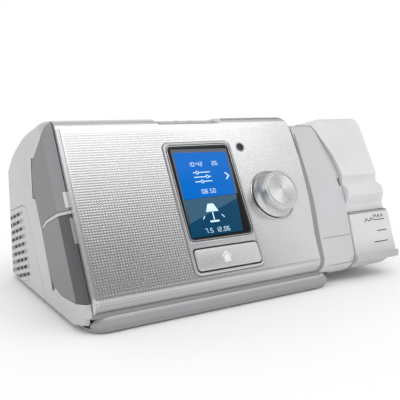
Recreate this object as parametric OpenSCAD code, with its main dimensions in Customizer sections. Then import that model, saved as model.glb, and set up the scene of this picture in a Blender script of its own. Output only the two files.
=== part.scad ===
// Bedside bilevel pap machine with a slide-in water tub.
// x runs right from the left end of the base, y runs back from its front edge, z runs up from the ground.
// The finished parts are shifted so that the origin lies under the middle of the whole machine.

/* [Overall] */
// Height of the crest above the ground
body_h = 116; // [112:1:120]
// Depth of the machine
body_d = 150; // [146:1:156]
// Width of the base that stands on the ground
base_w = 181; // [178:1:186]
// Slope of the front, from the ground
panel_angle = 61; // [59:0.5:63]
// Line where the plane of the sloped front meets the table, from the front edge of the base
foot_y = -8; // [-10:0.1:-6]
// How far the left wall bulges past the base
left_bulge = 3; // [2:0.1:4]
// Position of the tub's right end
tub_end_x = 250; // [244:1:256]

/* [Walls and clearances] */
// Wall of the moulded housings
wall = 2.3; // [1.8:0.1:2.6]
// Gap between fixed pieces that face each other
seam = 0.3; // [0.2:0.05:0.4]
// Gap round a piece that moves
play = 0.4; // [0.3:0.05:0.5]
// Radial clearance of a pin or shaft in its hole
pin_play = 0.05; // [0.03:0.01:0.08]

/* [Front panel] */
// Left edge of the silver panel
panel_x0 = 3; // [2:0.5:4]
// Right edge of the silver panel
panel_x1 = 181; // [179:1:183]
// Thickness of the panel
panel_t = 2.2; // [1.8:0.1:2.6]
// Radius of the panel's lower edge
toe_r = 10; // [8:0.5:12]
// Radius of the crest
crest_r = 8; // [6:0.5:10]
// Width of the notch in the crest, at its floor
notch_w = 47.6; // [44:0.2:50]
// Depth of the notch
notch_depth = 3.4; // [2:0.1:4]
// Width of the groove between panel and humidifier shell
groove_w = 1.4; // [1:0.1:2]

/* [Screen and home button] */
// Middle of the screen and of the home button
screen_x = 97.1; // [92:0.1:100]
// Width of the glass
screen_w = 47.4; // [44:0.2:50]
// Height of the glass along the slope
screen_h = 64.2; // [60:0.2:66]
// Lower edge of the glass, along the slope from the ground
screen_s0 = 48.4; // [47:0.1:50]
// Thickness of the glass
lens_t = 1.5; // [1.2:0.1:1.8]
// Rim of the frame round glass and button
frame_rim = 2.4; // [2:0.1:3]
// How far the frame stands above the panel
frame_rise = 0.7; // [0.4:0.1:1.2]
// Width of the home button
home_w = 48; // [44:0.2:50]
// Height of the home button along the slope
home_h = 13.6; // [12:0.2:14]
// Middle of the home button, along the slope
home_s = 35.4; // [35:0.1:36]
// Travel of the home button
home_travel = 0.8; // [0.5:0.1:1]

/* [Dial and sensor] */
// Position of the dial across the panel
dial_x = 146.8; // [144:0.2:150]
// Position of the dial along the slope
dial_s = 73; // [70:0.5:78]
// Radius of the dial's skirt
dial_r = 16.4; // [15:0.1:17]
// Radius of the dial's flat face
dial_face_r = 12.6; // [11:0.1:13]
// Height of the dial's face above the panel
dial_h = 11.2; // [9:0.1:12]
// Travel of the dial when it is pressed
dial_travel = 0.6; // [0.4:0.1:0.6]
// Radius of the dial's shaft
shaft_r = 3; // [2.5:0.1:3.5]
// Radius of the light sensor window
sensor_r = 3; // [2.4:0.1:3.5]

/* [Start button] */
// Width of the start button
start_w = 44.6; // [40:0.2:46]
// Depth of the start button, front to back
start_d = 13; // [11:0.5:14]
// Travel of the start button
start_travel = 1; // [0.6:0.1:1.2]

/* [Air path] */
// Outer radius of the air outlet
outlet_r = 11; // [11:0.5:11]
// Bore radius of the air outlet
outlet_bore = 9; // [8:0.25:9.5]
// Length of the outlet that a hose cuff slides over
outlet_len = 22; // [20:1:23]
// Outlet position across the machine
outlet_x = 110; // [108:1:112]
// Outlet height
outlet_z = 52; // [50:1:54]
// Bore radius of the inner ducts
duct_r = 7.5; // [6:0.25:8]
// Wall of the inner ducts
duct_t = 1.6; // [1.2:0.1:2]

/* [Blower] */
// Blower axis, across
blower_x = 62; // [60:1:63]
// Blower axis, front to back
blower_y = 97; // [96:1:99]
// Radius of the impeller
impeller_r = 24; // [22:0.5:25]
// Blades of the impeller
blades = 11; // [7:1:13]
// Radius of the motor case
motor_r = 17; // [16:0.5:18]
// Radius of the blower shaft
rotor_r = 1.5; // [1.5:0.1:2]

/* [Humidifier] */
// Left end of the dock
dock_x = 132; // [131:0.5:133]
// How far the dock's front wall lies behind the panel
dock_back = 18; // [17:0.5:20]
// Wall of the dock
dock_t = 1.8; // [1.5:0.1:2]
// Gap between tub and dock
tub_gap = 1; // [0.7:0.1:1.2]
// Wall of the tub
tub_t = 2; // [1.6:0.1:2.4]
// Height where the lid meets the base
split_z = 46; // [44:0.5:48]
// Rise of the lid's front above the shell
lid_rise = 3.2; // [2.5:0.1:3.5]
// Travel of the tub out of its dock
tub_travel = 95; // [90:1:100]

/* [Power inlet] */
// Inlet position across the machine
inlet_x = 66; // [64:1:70]
// Inlet height
inlet_z = 25; // [24:0.5:26]
// Radius of the inlet's socket
inlet_r = 4; // [3.5:0.1:4.5]
// Depth of the inlet's socket
inlet_depth = 10; // [8:0.5:11]

/* [Feet] */
// Radius of a foot
foot_r = 6; // [5:0.5:8]
// How far the feet lift the base
foot_h = 1; // [0.8:0.1:1.5]

/* [Hidden] */
$fn = 48;
eps = 0.01;
big = 400;
mid_x = (tub_end_x - left_bulge) / 2;
crest_y = foot_y + body_h / tan(panel_angle);
mid_y = (body_d + slope_y(16, -1.2)) / 2;
floor_t = 2.2;
floor_top = foot_h + floor_t;
toe_z = 6.5;
crest_z = body_h + 0.7;
shell_x0 = panel_x1 + groove_w;
lip_h = 9.4;
skirt_z = floor_top + seam;

function unit(v) = v / norm(v);
function right_of(a, b) = let (d = unit(b - a)) [d[1], -d[0]];
function xy(p) = [p[0], p[1]];
// Points of the round between two straight runs that meet at q
function corner(p, q, s, r) =
    r <= 0 ? [q] :
    let (u = unit(p - q), w = unit(s - q), half = acos(u * w) / 2,
         c = q + unit(u + w) * r / sin(half), a = q + u * r / tan(half) - c, b = q + w * r / tan(half) - c,
         from = atan2(a[1], a[0]), turn = (atan2(b[1], b[0]) - from + 540) % 360 - 180,
         n = max(2, ceil(abs(turn) / (r > 15 ? 5 : 12))))
    [for (i = [0:n]) c + r * [cos(from + turn * i / n), sin(from + turn * i / n)]];
// Closed outline from corners given as [x, y, radius]
function rounded(k) = let (n = len(k))
    [for (i = [0:n - 1]) each corner(xy(k[(i + n - 1) % n]), xy(k[i]), xy(k[(i + 1) % n]), k[i][2])];
// Open path from the same kind of corners
function path(k) = let (n = len(k))
    [for (i = [0:n - 1]) each i == 0 || i == n - 1 ? [xy(k[i])] : corner(xy(k[i - 1]), xy(k[i]), xy(k[i + 1]), k[i][2])];
// The same outline moved to its right by d, for a clockwise outline inwards
function inset(p, d) = let (n = len(p))
    [for (i = [0:n - 1]) let (u = right_of(p[(i + n - 1) % n], p[i]), w = right_of(p[i], p[(i + 1) % n]))
        p[i] + d * (u + w) / (1 + u * w)];
function inset_path(p, d) = let (n = len(p))
    [for (i = [0:n - 1]) let (u = i == 0 ? right_of(p[0], p[1]) : right_of(p[i - 1], p[i]),
        w = i == n - 1 ? u : right_of(p[i], p[i + 1])) p[i] + d * (u + w) / (1 + u * w)];
function reversed(p) = [for (i = [len(p) - 1:-1:0]) p[i]];
function strip(p, near, far) = concat(inset_path(p, near), reversed(inset_path(p, far)));
function box_outline(x0, y0, x1, y1, r) = rounded([[x0, y0, r], [x0, y1, r], [x1, y1, r], [x1, y0, r]]);

// Height z on the sloped front, moved back by d square to the slope
function slope_y(z, d = 0) = foot_y + z / tan(panel_angle) + d / sin(panel_angle);
// Depth of a point of the roof, given its distance behind the crest where the roof is 93.7 long
function roof_y(d) = crest_y + d * (body_d - crest_y) / 93.7;
// Side outline of the case: front moved back by f, every other side moved in by e
function case_outline(f = 0, e = 0, bottom = toe_z, top = crest_z, toe = toe_r, crest = crest_r) = rounded([
    [slope_y(bottom, f), bottom, toe],
    [slope_y(top - e, f), top - e, crest],
    [roof_y(15.7), top - 2.2 - e, 25],
    [roof_y(47.7) - 0.3 * e, top - 10.7 - e, 60],
    [roof_y(76.7) - 0.6 * e, top - 25.5 - 0.8 * e, 60],
    [body_d - e, top - 42.5 - 0.6 * e, 8],
    [body_d - e, bottom, 1]]);
// Side outline of the humidifier shell, whose crest is lower
shell_crest = body_h - 6;
function shell_outline(e = 0) = inset(rounded([
    [slope_y(toe_z), toe_z, toe_r],
    [slope_y(shell_crest), shell_crest, 5],
    [roof_y(39.7), shell_crest - 6.5, 60],
    [roof_y(73.7), shell_crest - 19, 60],
    [body_d, shell_crest - 36, 8],
    [body_d, toe_z, 3]]), e);
// Side outline of the dock and of what slides in it
dock_top = shell_crest - 13;
function dock_outline(e = 0) = inset(rounded([
    [slope_y(10, dock_back), 10, 6],
    [slope_y(dock_top, dock_back), dock_top, 6],
    [roof_y(43.7), dock_top, 20],
    [roof_y(67.7), dock_top - 10, 20],
    [body_d - wall - 1.2, dock_top - 29, 8],
    [body_d - wall - 1.2, 10, 6]]), e);
// Right edge of the humidifier shell in front view, as [x, z]
edge_corners = [[150, 6.3, 0], [199.8, 6.5, 9], [205.5, 30, 60], [216, 74, 60], [204.5, shell_crest - 4, 0],
    [186, shell_crest + 30, 0]];
function edge_path(shift) = [for (p = path(edge_corners)) [p[0] + shift, p[1]]];

module place() translate([-mid_x, -mid_y, 0]) children();
module along_x(x0, x1) translate([x0, 0, 0]) rotate([90, 0, 90]) linear_extrude(x1 - x0) children();
module along_y(y0, y1) translate([0, y1, 0]) rotate([90, 0, 0]) linear_extrude(y1 - y0) children();
module along_z(z0, z1) translate([0, 0, z0]) linear_extrude(z1 - z0) children();
// Local frame of the sloped front: x across, y up the slope, z out of the panel
module on_panel() translate([0, foot_y, 0]) rotate([panel_angle, 0, 0]) children();
module slab(points, h0, h1) translate([0, 0, h0]) linear_extrude(h1 - h0) polygon(points);
module tube(r, bore, h) difference() {
    cylinder(r = r, h = h);
    translate([0, 0, -1]) cylinder(r = bore, h = h + 2);
}
// Everything left of the shell's edge
module left_of_edge(shift) along_y(-50, body_d + 50) polygon(concat([[-50, -20]], edge_path(shift), [[-50, shell_crest + 30]]));

// The left end: the side outline grows as it leaves the outer wall, as [distance, set back, inset]
end_steps = [[0, 9, 4.2], [0.8, 7.6, 2.2], [2, 5.8, 1], [3.6, 4, 0.3], [6, 2.6, 0]];
plan_r = 11;
module left_end(skin = 0, x1 = 3.2) hull() for (i = [0:4]) let (k = end_steps[i], x = k[0] - left_bulge + skin)
    along_x(x, i == 4 ? max(x1, x + eps) : x + eps)
        polygon(case_outline(k[1] + skin, k[2] + skin, skirt_z, crest_z, 8, crest_r));

// Leaf outline of the two dark covers on the left wall, as [y, z, radius]
leaf_corners = [[-14, 40, 0], [62, 126, 0], [61, 108, 10], [84.5, 88, 16], [83.5, 74, 22], [67, 46, 40],
    [54, 19, 14], [36, 15, 20], [4, 17.5, 2], [-14, 26, 0]];
function leaf(e) = inset(rounded(leaf_corners), e);
// Line that splits the leaf between the two covers
split_line = [[-20, 66], [30, 67], [58, 57], [72, 47.5], [100, 30]];
function below_split(s) = concat([[-20, -20]], [for (p = split_line) p + [0, s]], [[100, -20]]);
split_bar = 2;
pocket_x = 3.4;

// Pivots of the three covers on the left
pin_r = 0.8;
knuckle_r = 1.6;
hinge_x = -1.3;
sd_axis = [hinge_x, 81.9];
sd_axis_z = 75;
adapter_pivot = [hinge_x, 57, 31];
adapter_tilt = 25.7;
filter_axis = [28, body_d - 1.8];
filter_axis_z = 15;
pin_l = 12;
module at_sd_hinge() translate([sd_axis[0], sd_axis[1], sd_axis_z]) children();
module at_adapter_hinge() translate(adapter_pivot) rotate([-adapter_tilt, 0, 0]) children();
module at_filter_hinge() translate([filter_axis[0], filter_axis[1], filter_axis_z]) children();

screws_xy = [[16, 40], [118, 19], [46, body_d - 9], [125, body_d - 9]];
feet_xy = [[16, 14], [166, 14], [16, body_d - 14], [166, body_d - 14]];

module base_outline(e) polygon(box_outline(e, e, base_w - e, body_d - e, 12 - e / 2));
module base_tray() color([0.62, 0.63, 0.65]) difference() {
    union() {
        difference() {
            hull() {
                along_z(foot_h, foot_h + eps) base_outline(1.6);
                along_z(foot_h + 3.6, foot_h + 3.6 + eps) base_outline(0);
                along_z(foot_h + 5, foot_h + 5 + eps) base_outline(0.3);
                along_z(lip_h - eps, lip_h) base_outline(3);
            }
            along_z(floor_top, lip_h + 1) base_outline(5);
            // The housing's side and back walls stand on the floor here
            translate([-1, 5.2, floor_top]) cube([wall + 12, body_d, 20]);
            translate([-1, body_d - 8, floor_top]) cube([base_w + 2, 20, 20]);
            translate([base_w - 9, 20, 5.6]) cube([20, body_d, 20]);
        }
        for (p = screws_xy) translate([p[0], p[1], floor_top - eps]) cylinder(r = 4, h = 12 - floor_top);
        translate([blower_x, blower_y, floor_top - eps]) tube(motor_r + 2.4, motor_r - 1.5, 20 - floor_top);
        for (x = [30, 60, 110, 140]) translate([x, 24, floor_top - eps]) cube([1.6, 36, 3]);
        for (y = [30, 52]) translate([24, y, floor_top - eps]) cube([130, 1.6, 3]);
        // Posts under the dock
        for (x = [140, 162]) for (y = [64, 120]) translate([x, y, floor_top - eps]) cylinder(r = 3, h = 10 - floor_top);
    }
    for (p = screws_xy) translate([p[0], p[1], 0]) {
        cylinder(r = 1.7, h = 30);
        cylinder(r = 3.4, h = floor_top + 2);
    }
    for (p = feet_xy) translate([p[0], p[1], 0]) cylinder(r = foot_r + 0.1, h = foot_h + 0.8);
    // Air slots of the floor under the blower
    for (i = [0:6]) translate([blower_x - 9 + 3 * i, blower_y - 6, 0]) cube([1.4, 12, 10]);
}

module rubber_feet() color([0.12, 0.12, 0.13]) for (p = feet_xy) translate([p[0], p[1], 0]) {
    cylinder(r1 = foot_r - 0.6, r2 = foot_r, h = foot_h);
    translate([0, 0, foot_h]) cylinder(r = foot_r, h = 0.8);
}

module base_screws() color([0.5, 0.5, 0.52]) for (p = screws_xy) translate([p[0], p[1], floor_top + 0.2]) {
    cylinder(r = 3, h = 1.8);
    cylinder(r = 1.5, h = 12);
}

pocket_r = outlet_r + 6.5;
pocket_y = body_d - outlet_len - 1;
panel_bottom = toe_z + panel_t + seam;
module housing_form() {
    intersection() {
        left_end();
        plan_bounds();
    }
    along_x(3, panel_x1) polygon(case_outline(panel_t + 0.45, 0, panel_bottom, crest_z, toe_r - panel_t - 0.45, crest_r));
    // The back wall reaches down to the floor
    translate([8, body_d - wall, skirt_z]) cube([panel_x1 - 8, wall, 20]);
}
module plan_bounds() along_z(0, big) polygon(box_outline(-left_bulge, -20, base_w + 40, body_d, plan_r));
module housing_hollow() {
    hull() {
        along_x(wall + 0.6 - left_bulge, wall + 0.6 - left_bulge + eps)
            polygon(case_outline(12, 4.4 + wall, -10, crest_z, 1, crest_r));
        along_x(8, 8 + eps) polygon(case_outline(2.6 + wall, wall, -10, crest_z, 1, crest_r - wall));
    }
    along_x(8, panel_x1 + 1) polygon(case_outline(2.6 + wall, wall, -10, crest_z, 1, crest_r - wall));
}
// Rounded top right corner of panel and housing
module crest_corner(r) along_y(20, 170) polygon(concat([[panel_x1 + 5, body_h + 10], [panel_x1 - 8, body_h + 10]],
    [for (a = [90:-15:0]) [panel_x1 - r + r * cos(a), body_h - r + (r + 0.6) * sin(a)]], [[panel_x1 + 5, body_h - r]]));
// Notch in the crest
module crest_notch(y1) along_y(40, y1) polygon([[screen_x - notch_w / 2, notch_z], [screen_x - notch_w / 2 - 5, body_h + 2],
    [screen_x + notch_w / 2 + 5, body_h + 2], [screen_x + notch_w / 2, notch_z]]);
module start_shaft(z0) translate([screen_x - start_w / 2 - play, start_y0 - play, z0])
    cube([start_w + 2 * play, start_d + 2 * play, 60]);

// Filter cover on the left rear corner, as [y, z, radius]
function filter_zone(e) = inset(rounded([[64.2, 3.3, 0], [99, 58.5, 7], [109, 58.5, 10], [body_d + 5, 45.8, 0],
    [body_d + 5, 3.3, 0]]), e);
filter_top = 45;
module filter_block(e, x1) {
    intersection() {
        along_x(-20, filter_axis[0]) polygon(filter_zone(e));
        along_z(0, 200) polygon([[-20, -20], [-20, 200], [11, 200], [11, -20]]);
    }
    translate([10.9, body_d - 12, 3.3 + e]) cube([x1 - 10.9, 30, filter_top - 2 * e]);
}
module inner_bounds(d, x1) along_z(-1, 200) polygon(box_outline(d - left_bulge, -30, x1, body_d - d, max(1, plan_r - d)));

// The air filter's frame
frame_y1 = body_d - 3.5;
frame_y0 = frame_y1 - 50.5;
frame_z1 = 48;
module filter_frame() translate([0.2, frame_y0, 3.5]) difference() {
    cube([12, frame_y1 - frame_y0, frame_z1 - 3.5]);
    translate([-1, 2, 4.5]) cube([11.2, frame_y1 - frame_y0 - 4, frame_z1 - 10]);
    translate([-1, 8, 12]) cube([20, frame_y1 - frame_y0 - 16, frame_z1 - 26]);
}

module upper_housing() color([0.74, 0.75, 0.76]) difference() {
    union() {
        difference() {
            housing_form();
            housing_hollow();
        }
        // Rim and floor of the leaf pocket behind the two covers
        intersection() {
            left_end(0.6, 5);
            along_x(-left_bulge, 5) difference() {
                polygon(leaf(-2));
                polygon(leaf(0));
            }
        }
        intersection() {
            along_x(pocket_x, 5) polygon(leaf(-2));
            along_x(pocket_x, 5) polygon(case_outline(4, 1));
        }
        // Skin behind the filter cover
        intersection() {
            difference() {
                inner_bounds(2, 60);
                inner_bounds(4.7, 70);
            }
            along_x(-2.5, 32) polygon([[61, skirt_z], [99, 63], [body_d - 1.5, 63], [body_d - 1.5, skirt_z]]);
            along_x(-2.5, 32) polygon(case_outline(9, 1.5, skirt_z));
        }
        filter_frame();
        // Posts for the case screws
        for (p = screws_xy) translate([p[0], p[1], 12]) cylinder(r = 3.8, h = p[1] > 100 ? 24 : 6);
        for (p = screws_xy) if (p[1] > 100) translate([p[0] - 1, p[1], 12]) cube([2, body_d - p[1] - 1, 24]);
        translate([4, 39, 12]) cube([12, 2, 10]);
        translate([117, 6, 12]) cube([2, 12, 6]);
        // Cup round the air outlet
        intersection() {
            translate([outlet_x, body_d, outlet_z]) rotate([90, 0, 0]) cylinder(r = pocket_r + wall, h = body_d - pocket_y + wall);
            along_x(80, 160) polygon(case_outline(3, 0.5));
        }
        // Wall behind the inlet's clip
        translate([inlet_x - 15, body_d - 6.8, skirt_z]) cube([30, 5, inlet_z + 16 - skirt_z]);
        // Frame that guides the start button
        intersection() {
            translate([screen_x - start_w / 2 - play - 1.6, start_y0 - play - 1.6, start_board_z])
                cube([start_w + 2 * play + 3.2, start_d + 2 * play + 3.2, 30]);
            along_x(60, 140) polygon(case_outline(3, 0.5));
        }
    }
    // Open front behind the panel
    on_panel() slab(box_outline(12, 27, panel_x1 - 7, 119, 4), -12, 8);
    // Seat of the panel
    along_x(panel_x0 - seam, panel_x1 + 20) polygon(strip(panel_path(1), -8, panel_t + seam));
    crest_corner(8.3);
    crest_notch(start_y0 + start_d + play);
    start_shaft(body_h - 30);
    // Leaf pocket, with a bar left between the two covers, and the turning space of its hinges
    difference() {
        along_x(-left_bulge - 2, pocket_x) polygon(leaf(0));
        along_x(-left_bulge - 5, pocket_x + 5) difference() {
            polygon(below_split(-play));
            polygon(below_split(-play - split_bar));
        }
    }
    at_sd_hinge() translate([0, 0, -2]) cylinder(r = 2.9, h = pin_l + 4);
    intersection() {
        at_sd_hinge() translate([0, 0, -8.7]) cylinder(r = 3.3, h = pin_l + 14);
        translate([-left_bulge - 1, 70, 60]) cube([left_bulge, 20, 40]);
    }
    at_adapter_hinge() translate([0, 0, -18]) cylinder(r = 2.9, h = 37.6);
    intersection() {
        at_adapter_hinge() translate([0, 0, -18]) cylinder(r = 2.9, h = 39.2);
        translate([-left_bulge - 1, 50, 30]) cube([left_bulge - 1, 30, 30]);
    }
    sd_cover_pin();
    adapter_cover_pin();
    sd_opening();
    adapter_opening();
    // The base's lip shows at the front corner
    translate([-left_bulge - 1, -10, 0]) cube([left_bulge + 6, 15, lip_h + seam]);
    translate([-left_bulge - 1, -10, 0]) cube([panel_x1 + 20, 16.2, lip_h + seam]);
    // Filter cover
    difference() {
        filter_block(0, filter_axis[0]);
        inner_bounds(wall + seam, 70);
    }
    at_filter_hinge() translate([0, 0, -1]) cylinder(r = knuckle_r + seam, h = pin_l + 2);
    at_filter_hinge() translate([-1, 0.4, -1.2]) cube([body_d - filter_axis[1] + seam + 1, 10, pin_l + 2.4]);
    at_filter_hinge() translate([0, 0, -2]) cylinder(r = pin_r, h = pin_l + 4);
    translate([0.2, frame_y0 + 2, 8]) cube([9.9, frame_y1 - frame_y0 - 4, frame_z1 - 10]);
    translate([-2, frame_y0 + 2, 8]) cube([9.9, frame_y1 - frame_y0 - 4, frame_z1 - 10]);
    // Outlet pocket
    translate([outlet_x, body_d + 20, outlet_z]) rotate([90, 0, 0]) cylinder(r = pocket_r, h = body_d + 20 - pocket_y);
    translate([outlet_x, body_d, outlet_z]) rotate([90, 0, 0]) cylinder(r = outlet_root + 0.1, h = 40);
    // Power inlet and the recess of its clip
    translate([inlet_x - 13, body_d - 4.4, -1]) cube([26, 10, inlet_z + 16]);
    translate([inlet_x - 9, body_d - 20, inlet_z - 8]) cube([18, 30, 16]);
    translate([inlet_x - 14, clip_y, clip_axis_z]) rotate([0, 90, 0]) cylinder(r = pin_r, h = 28);
    for (p = screws_xy) translate([p[0], p[1], 0]) cylinder(r = 1.5, h = floor_top + 12.4);
    // Air slots of the back
    for (i = [0:5]) translate([inlet_x - 40, body_d - 6, 54 + 3.4 * i]) cube([22, 12, 1.6]);
}
module sd_opening() on_panel() translate([-10, 87.6, main_h + 1.8]) cube([20, 25.2, 3]);
module adapter_opening() on_panel() translate([-10, 40.4, main_h + 2.6]) cube([20, 17.2, 5.2]);

// Path of the panel's outer face, from below the toe, up the slope and over the crest
panel_end_y = 65;
function panel_path(extra = 0) = path([
    [slope_y(toe_z) + 17.4 + extra, toe_z, 0],
    [slope_y(toe_z), toe_z, toe_r],
    [slope_y(crest_z), crest_z, crest_r],
    [panel_end_y + extra, crest_z - 1.2, 0]]);
// Panel seen square on: the right edge runs in towards the rounded lower corner
function panel_face(e = 0) = rounded([
    [panel_x0 + e, -10, 0],
    [panel_x0 + e, 170, 0],
    [panel_x1 - e, 170, 0],
    [panel_x1 - e, 96, 40],
    [panel_x1 - 2.6 - e, 50, 60],
    [panel_x1 - 7 - e, 15.5, 12],
    [panel_x1 - 60, 15.5, 0],
    [panel_x1 - 60, -10, 0]]);
notch_z = body_h - notch_depth;
home_s0 = home_s - home_h / 2;
frame_x0 = screen_x - screen_w / 2 - frame_rim;
frame_x1 = screen_x + screen_w / 2 + frame_rim;
frame_s0 = home_s0 - frame_rim;
frame_s1 = screen_s0 + screen_h + frame_rim;
sensor_at = [screen_x + 34.6, 110.3];
board_h = -9.6;
main_h = -20;
display_pegs = [[68, 31], [126, 31], [68, 114.5], [126, 114.5]];
main_pegs = [[14.8, 32], [60, 32], [14.8, 73], [60, 110]];
module front_panel() color([0.78, 0.79, 0.8]) difference() {
    union() {
        intersection() {
            along_x(panel_x0, panel_x1) polygon(strip(panel_path(), 0, panel_t));
            on_panel() slab(panel_face(), -40, 20);
        }
        for (p = display_pegs) on_panel() translate([p[0], p[1], board_h + 1.6]) cylinder(r = 2, h = -board_h - 1.6 - 1);
        for (p = main_pegs) on_panel() translate([p[0], p[1], main_h + 1.6]) cylinder(r = 2.4, h = -main_h - 1.6 - 1);
    }
    on_panel() {
        slab(box_outline(frame_x0 + 1.2, frame_s0 + 1.2, frame_x1 - 1.2, frame_s1 - 1.2, 3), -8, 5);
        translate([dial_x, dial_s, -10]) cylinder(r = 8, h = 20);
        translate([sensor_at[0], sensor_at[1], -10]) cylinder(r = sensor_r, h = 20);
        for (p = concat(display_pegs, main_pegs)) translate([p[0], p[1], -40]) cylinder(r = 0.85, h = 37);
    }
    crest_notch(80);
    start_shaft(body_h - 20);
    crest_corner(8);
}

// The shell's front follows the panel; its edge to the tub is cut by the edge curve
module humidifier_shell() color([0.76, 0.77, 0.78]) difference() {
    union() {
        difference() {
            along_x(panel_x1 - 14, 224) polygon(shell_outline());
            along_x(panel_x1 - 20, 230) polygon(shell_outline(wall));
            // Groove beside the panel, then all but the skin below the panel's rounded corner
            on_panel() slab(panel_face(-groove_w), -16, 30);
            translate([100, 15, -5]) cube([panel_x1 + seam - 100, 300, 36]);
            on_panel() translate([100, 26, -400]) cube([panel_x1 + seam - 100, 200, 400 - panel_t - 0.2]);
        }
        difference() {
            along_x(panel_x1 + seam, shell_x0 + 2) polygon(shell_outline(panel_t));
            along_x(panel_x1 - 20, 230) polygon(shell_outline(panel_t + 1.8));
            translate([170, -50, -10]) cube([30, 300, 24]);
            translate([170, 140, -10]) cube([30, 30, 200]);
        }
    }
    difference() {
        translate([100, -50, -50]) cube([200, 400, 300]);
        left_of_edge(0);
    }
    // Base lip
    translate([0, -50, 0]) cube([base_w + seam, 400, lip_h + seam]);
    // Slot for the tub's latch
    along_y(-20, 60) polygon(box_outline(210.6, 65, 212.8, 71, 0.8));
}

port_in = [blower_y - impeller_r - 3.1, 57];
port_out = [112, outlet_z];
module port(p, r, x0, x1) translate([x0, p[0], p[1]]) rotate([0, 90, 0]) cylinder(r = r, h = x1 - x0);
heater_x0 = 146;
heater_y0 = 56;
heater_w = 44;
heater_d = 74;
dock_floor = 10 + dock_t;
module humidifier_dock() color([0.55, 0.56, 0.58]) difference() {
    intersection() {
        along_x(dock_x, 224) polygon(dock_outline());
        left_of_edge(-2.5);
    }
    along_x(dock_x + dock_t, 230) polygon(dock_outline(dock_t));
    for (p = [port_in, port_out]) port(p, duct_r + duct_t + 0.1, dock_x - 5, dock_x + 10);
    translate([heater_x0, heater_y0, 10.8]) cube([heater_w, heater_d, 20]);
    translate([heater_x0 + 4, heater_y0 + 4, 0]) cube([heater_w - 8, heater_d - 8, 20]);
}

module heater_plate() color([0.8, 0.81, 0.83]) {
    translate([heater_x0 + 0.1, heater_y0 + 0.1, 10.8]) cube([heater_w - 0.2, heater_d - 0.2, 1.3]);
    translate([heater_x0 + 6, heater_y0 + 6, 10.1]) cube([heater_w - 12, heater_d - 12, 0.8]);
}

module docking_seals() color([0.2, 0.2, 0.22]) for (p = [port_in, port_out]) difference() {
    union() {
        port(p, duct_r + 3.4, dock_x + dock_t, dock_x + dock_t + 1.4);
        port(p, duct_r + 2.2, dock_x + dock_t, dock_x + dock_t + 3.2);
    }
    port(p, duct_r, dock_x, dock_x + 10);
}

module screen_frame() color([0.72, 0.73, 0.75]) on_panel() difference() {
    union() {
        slab(box_outline(frame_x0, frame_s0, frame_x1, frame_s1, 4), 0, frame_rise);
        slab(box_outline(frame_x0 + 1.2 + seam / 2, frame_s0 + 1.2 + seam / 2, frame_x1 - 1.2 - seam / 2,
            frame_s1 - 1.2 - seam / 2, 3), -3.2, 0.1);
    }
    slab(box_outline(screen_x - screen_w / 2, screen_s0, screen_x + screen_w / 2, screen_s0 + screen_h, 3), -0.2 - lens_t, 5);
    slab(box_outline(screen_x - screen_w / 2 + 1.4, screen_s0 + 1.4, screen_x + screen_w / 2 - 1.4,
        screen_s0 + screen_h - 1.4, 2), -8, 5);
    slab(box_outline(screen_x - home_w / 2 - play, home_s0 - play, screen_x + home_w / 2 + play,
        home_s0 + home_h + play, 2.4), -8, 5);
}
module screen_lens() color([0.05, 0.05, 0.06]) on_panel() slab(box_outline(screen_x - screen_w / 2 + 0.1,
    screen_s0 + 0.1, screen_x + screen_w / 2 - 0.1, screen_s0 + screen_h - 0.1, 2.9), -0.2 - lens_t, -0.2);
module lcd_module() color([0.1, 0.3, 0.6]) on_panel() {
    slab(box_outline(screen_x - 21.6, screen_s0 + 2.2, screen_x + 21.6, screen_s0 + screen_h - 2.2, 1), -4.6, -0.2 - lens_t);
    slab(box_outline(screen_x - 20, screen_s0 + 4, screen_x + 20, screen_s0 + screen_h - 4, 1), board_h + 1.6, -4.5);
}
module sensor_lens() color([0.08, 0.08, 0.1]) on_panel() translate([sensor_at[0], sensor_at[1], 0]) {
    translate([0, 0, -panel_t]) cylinder(r = sensor_r - 0.05, h = panel_t - 0.3);
    translate([0, 0, -panel_t - 1.4]) cylinder(r = sensor_r + 1, h = 1.4);
}
module display_board() color([0.1, 0.35, 0.2]) on_panel() difference() {
    union() {
        slab([[64, 28], [64, 116.8], [138, 116.8], [138, dial_s + 14], [160, dial_s + 14], [160, dial_s - 14],
            [130, dial_s - 14], [130, 28]], board_h, board_h + 1.6);
        // Light sensor under its window
        translate([sensor_at[0] - 2.6, sensor_at[1] - 2.8, board_h + 1.5]) cube([5.2, 5.6, -panel_t - 1.7 - board_h - 1.5]);
        for (i = [0:4]) translate([70 + 11 * i, 45.4, board_h - 1.4]) cube([6, 4, 1.5]);
    }
    for (p = display_pegs) translate([p[0], p[1], -30]) cylinder(r = 1.1, h = 40);
}
module main_board() color([0.08, 0.3, 0.18]) on_panel() difference() {
    union() {
        slab([[7, 24], [7, 114], [104, 114], [104, 24]], main_h, main_h + 1.6);
        translate([44, 60, main_h + 1.5]) cube([16, 16, 2]);
        translate([70, 76, main_h + 1.5]) cube([26, 20, 3]);
        for (i = [0:4]) translate([36 + 13 * i, 42, main_h - 6]) cylinder(r = 3.4, h = 6.1);
        translate([56, 84, main_h - 3]) cube([30, 14, 3.1]);
    }
    for (p = main_pegs) translate([p[0], p[1], -40]) cylinder(r = 1.1, h = 40);
}
module board_screws() color([0.6, 0.6, 0.62]) {
    for (p = display_pegs) on_panel() translate([p[0], p[1], board_h - 1.4]) {
        cylinder(r = 1.8, h = 1.4);
        cylinder(r = 0.85, h = 6.4);
    }
    for (p = main_pegs) on_panel() translate([p[0], p[1], main_h - 1.4]) {
        cylinder(r = 1.8, h = 1.4);
        cylinder(r = 0.85, h = 7.4);
    }
}
module sd_socket() color([0.7, 0.7, 0.72]) on_panel() difference() {
    translate([7.4, 86.6, main_h + 1.6]) cube([30, 27.2, 3.4]);
    translate([6, 88.2, main_h + 2.2]) cube([26, 24, 2.2]);
}
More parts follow.
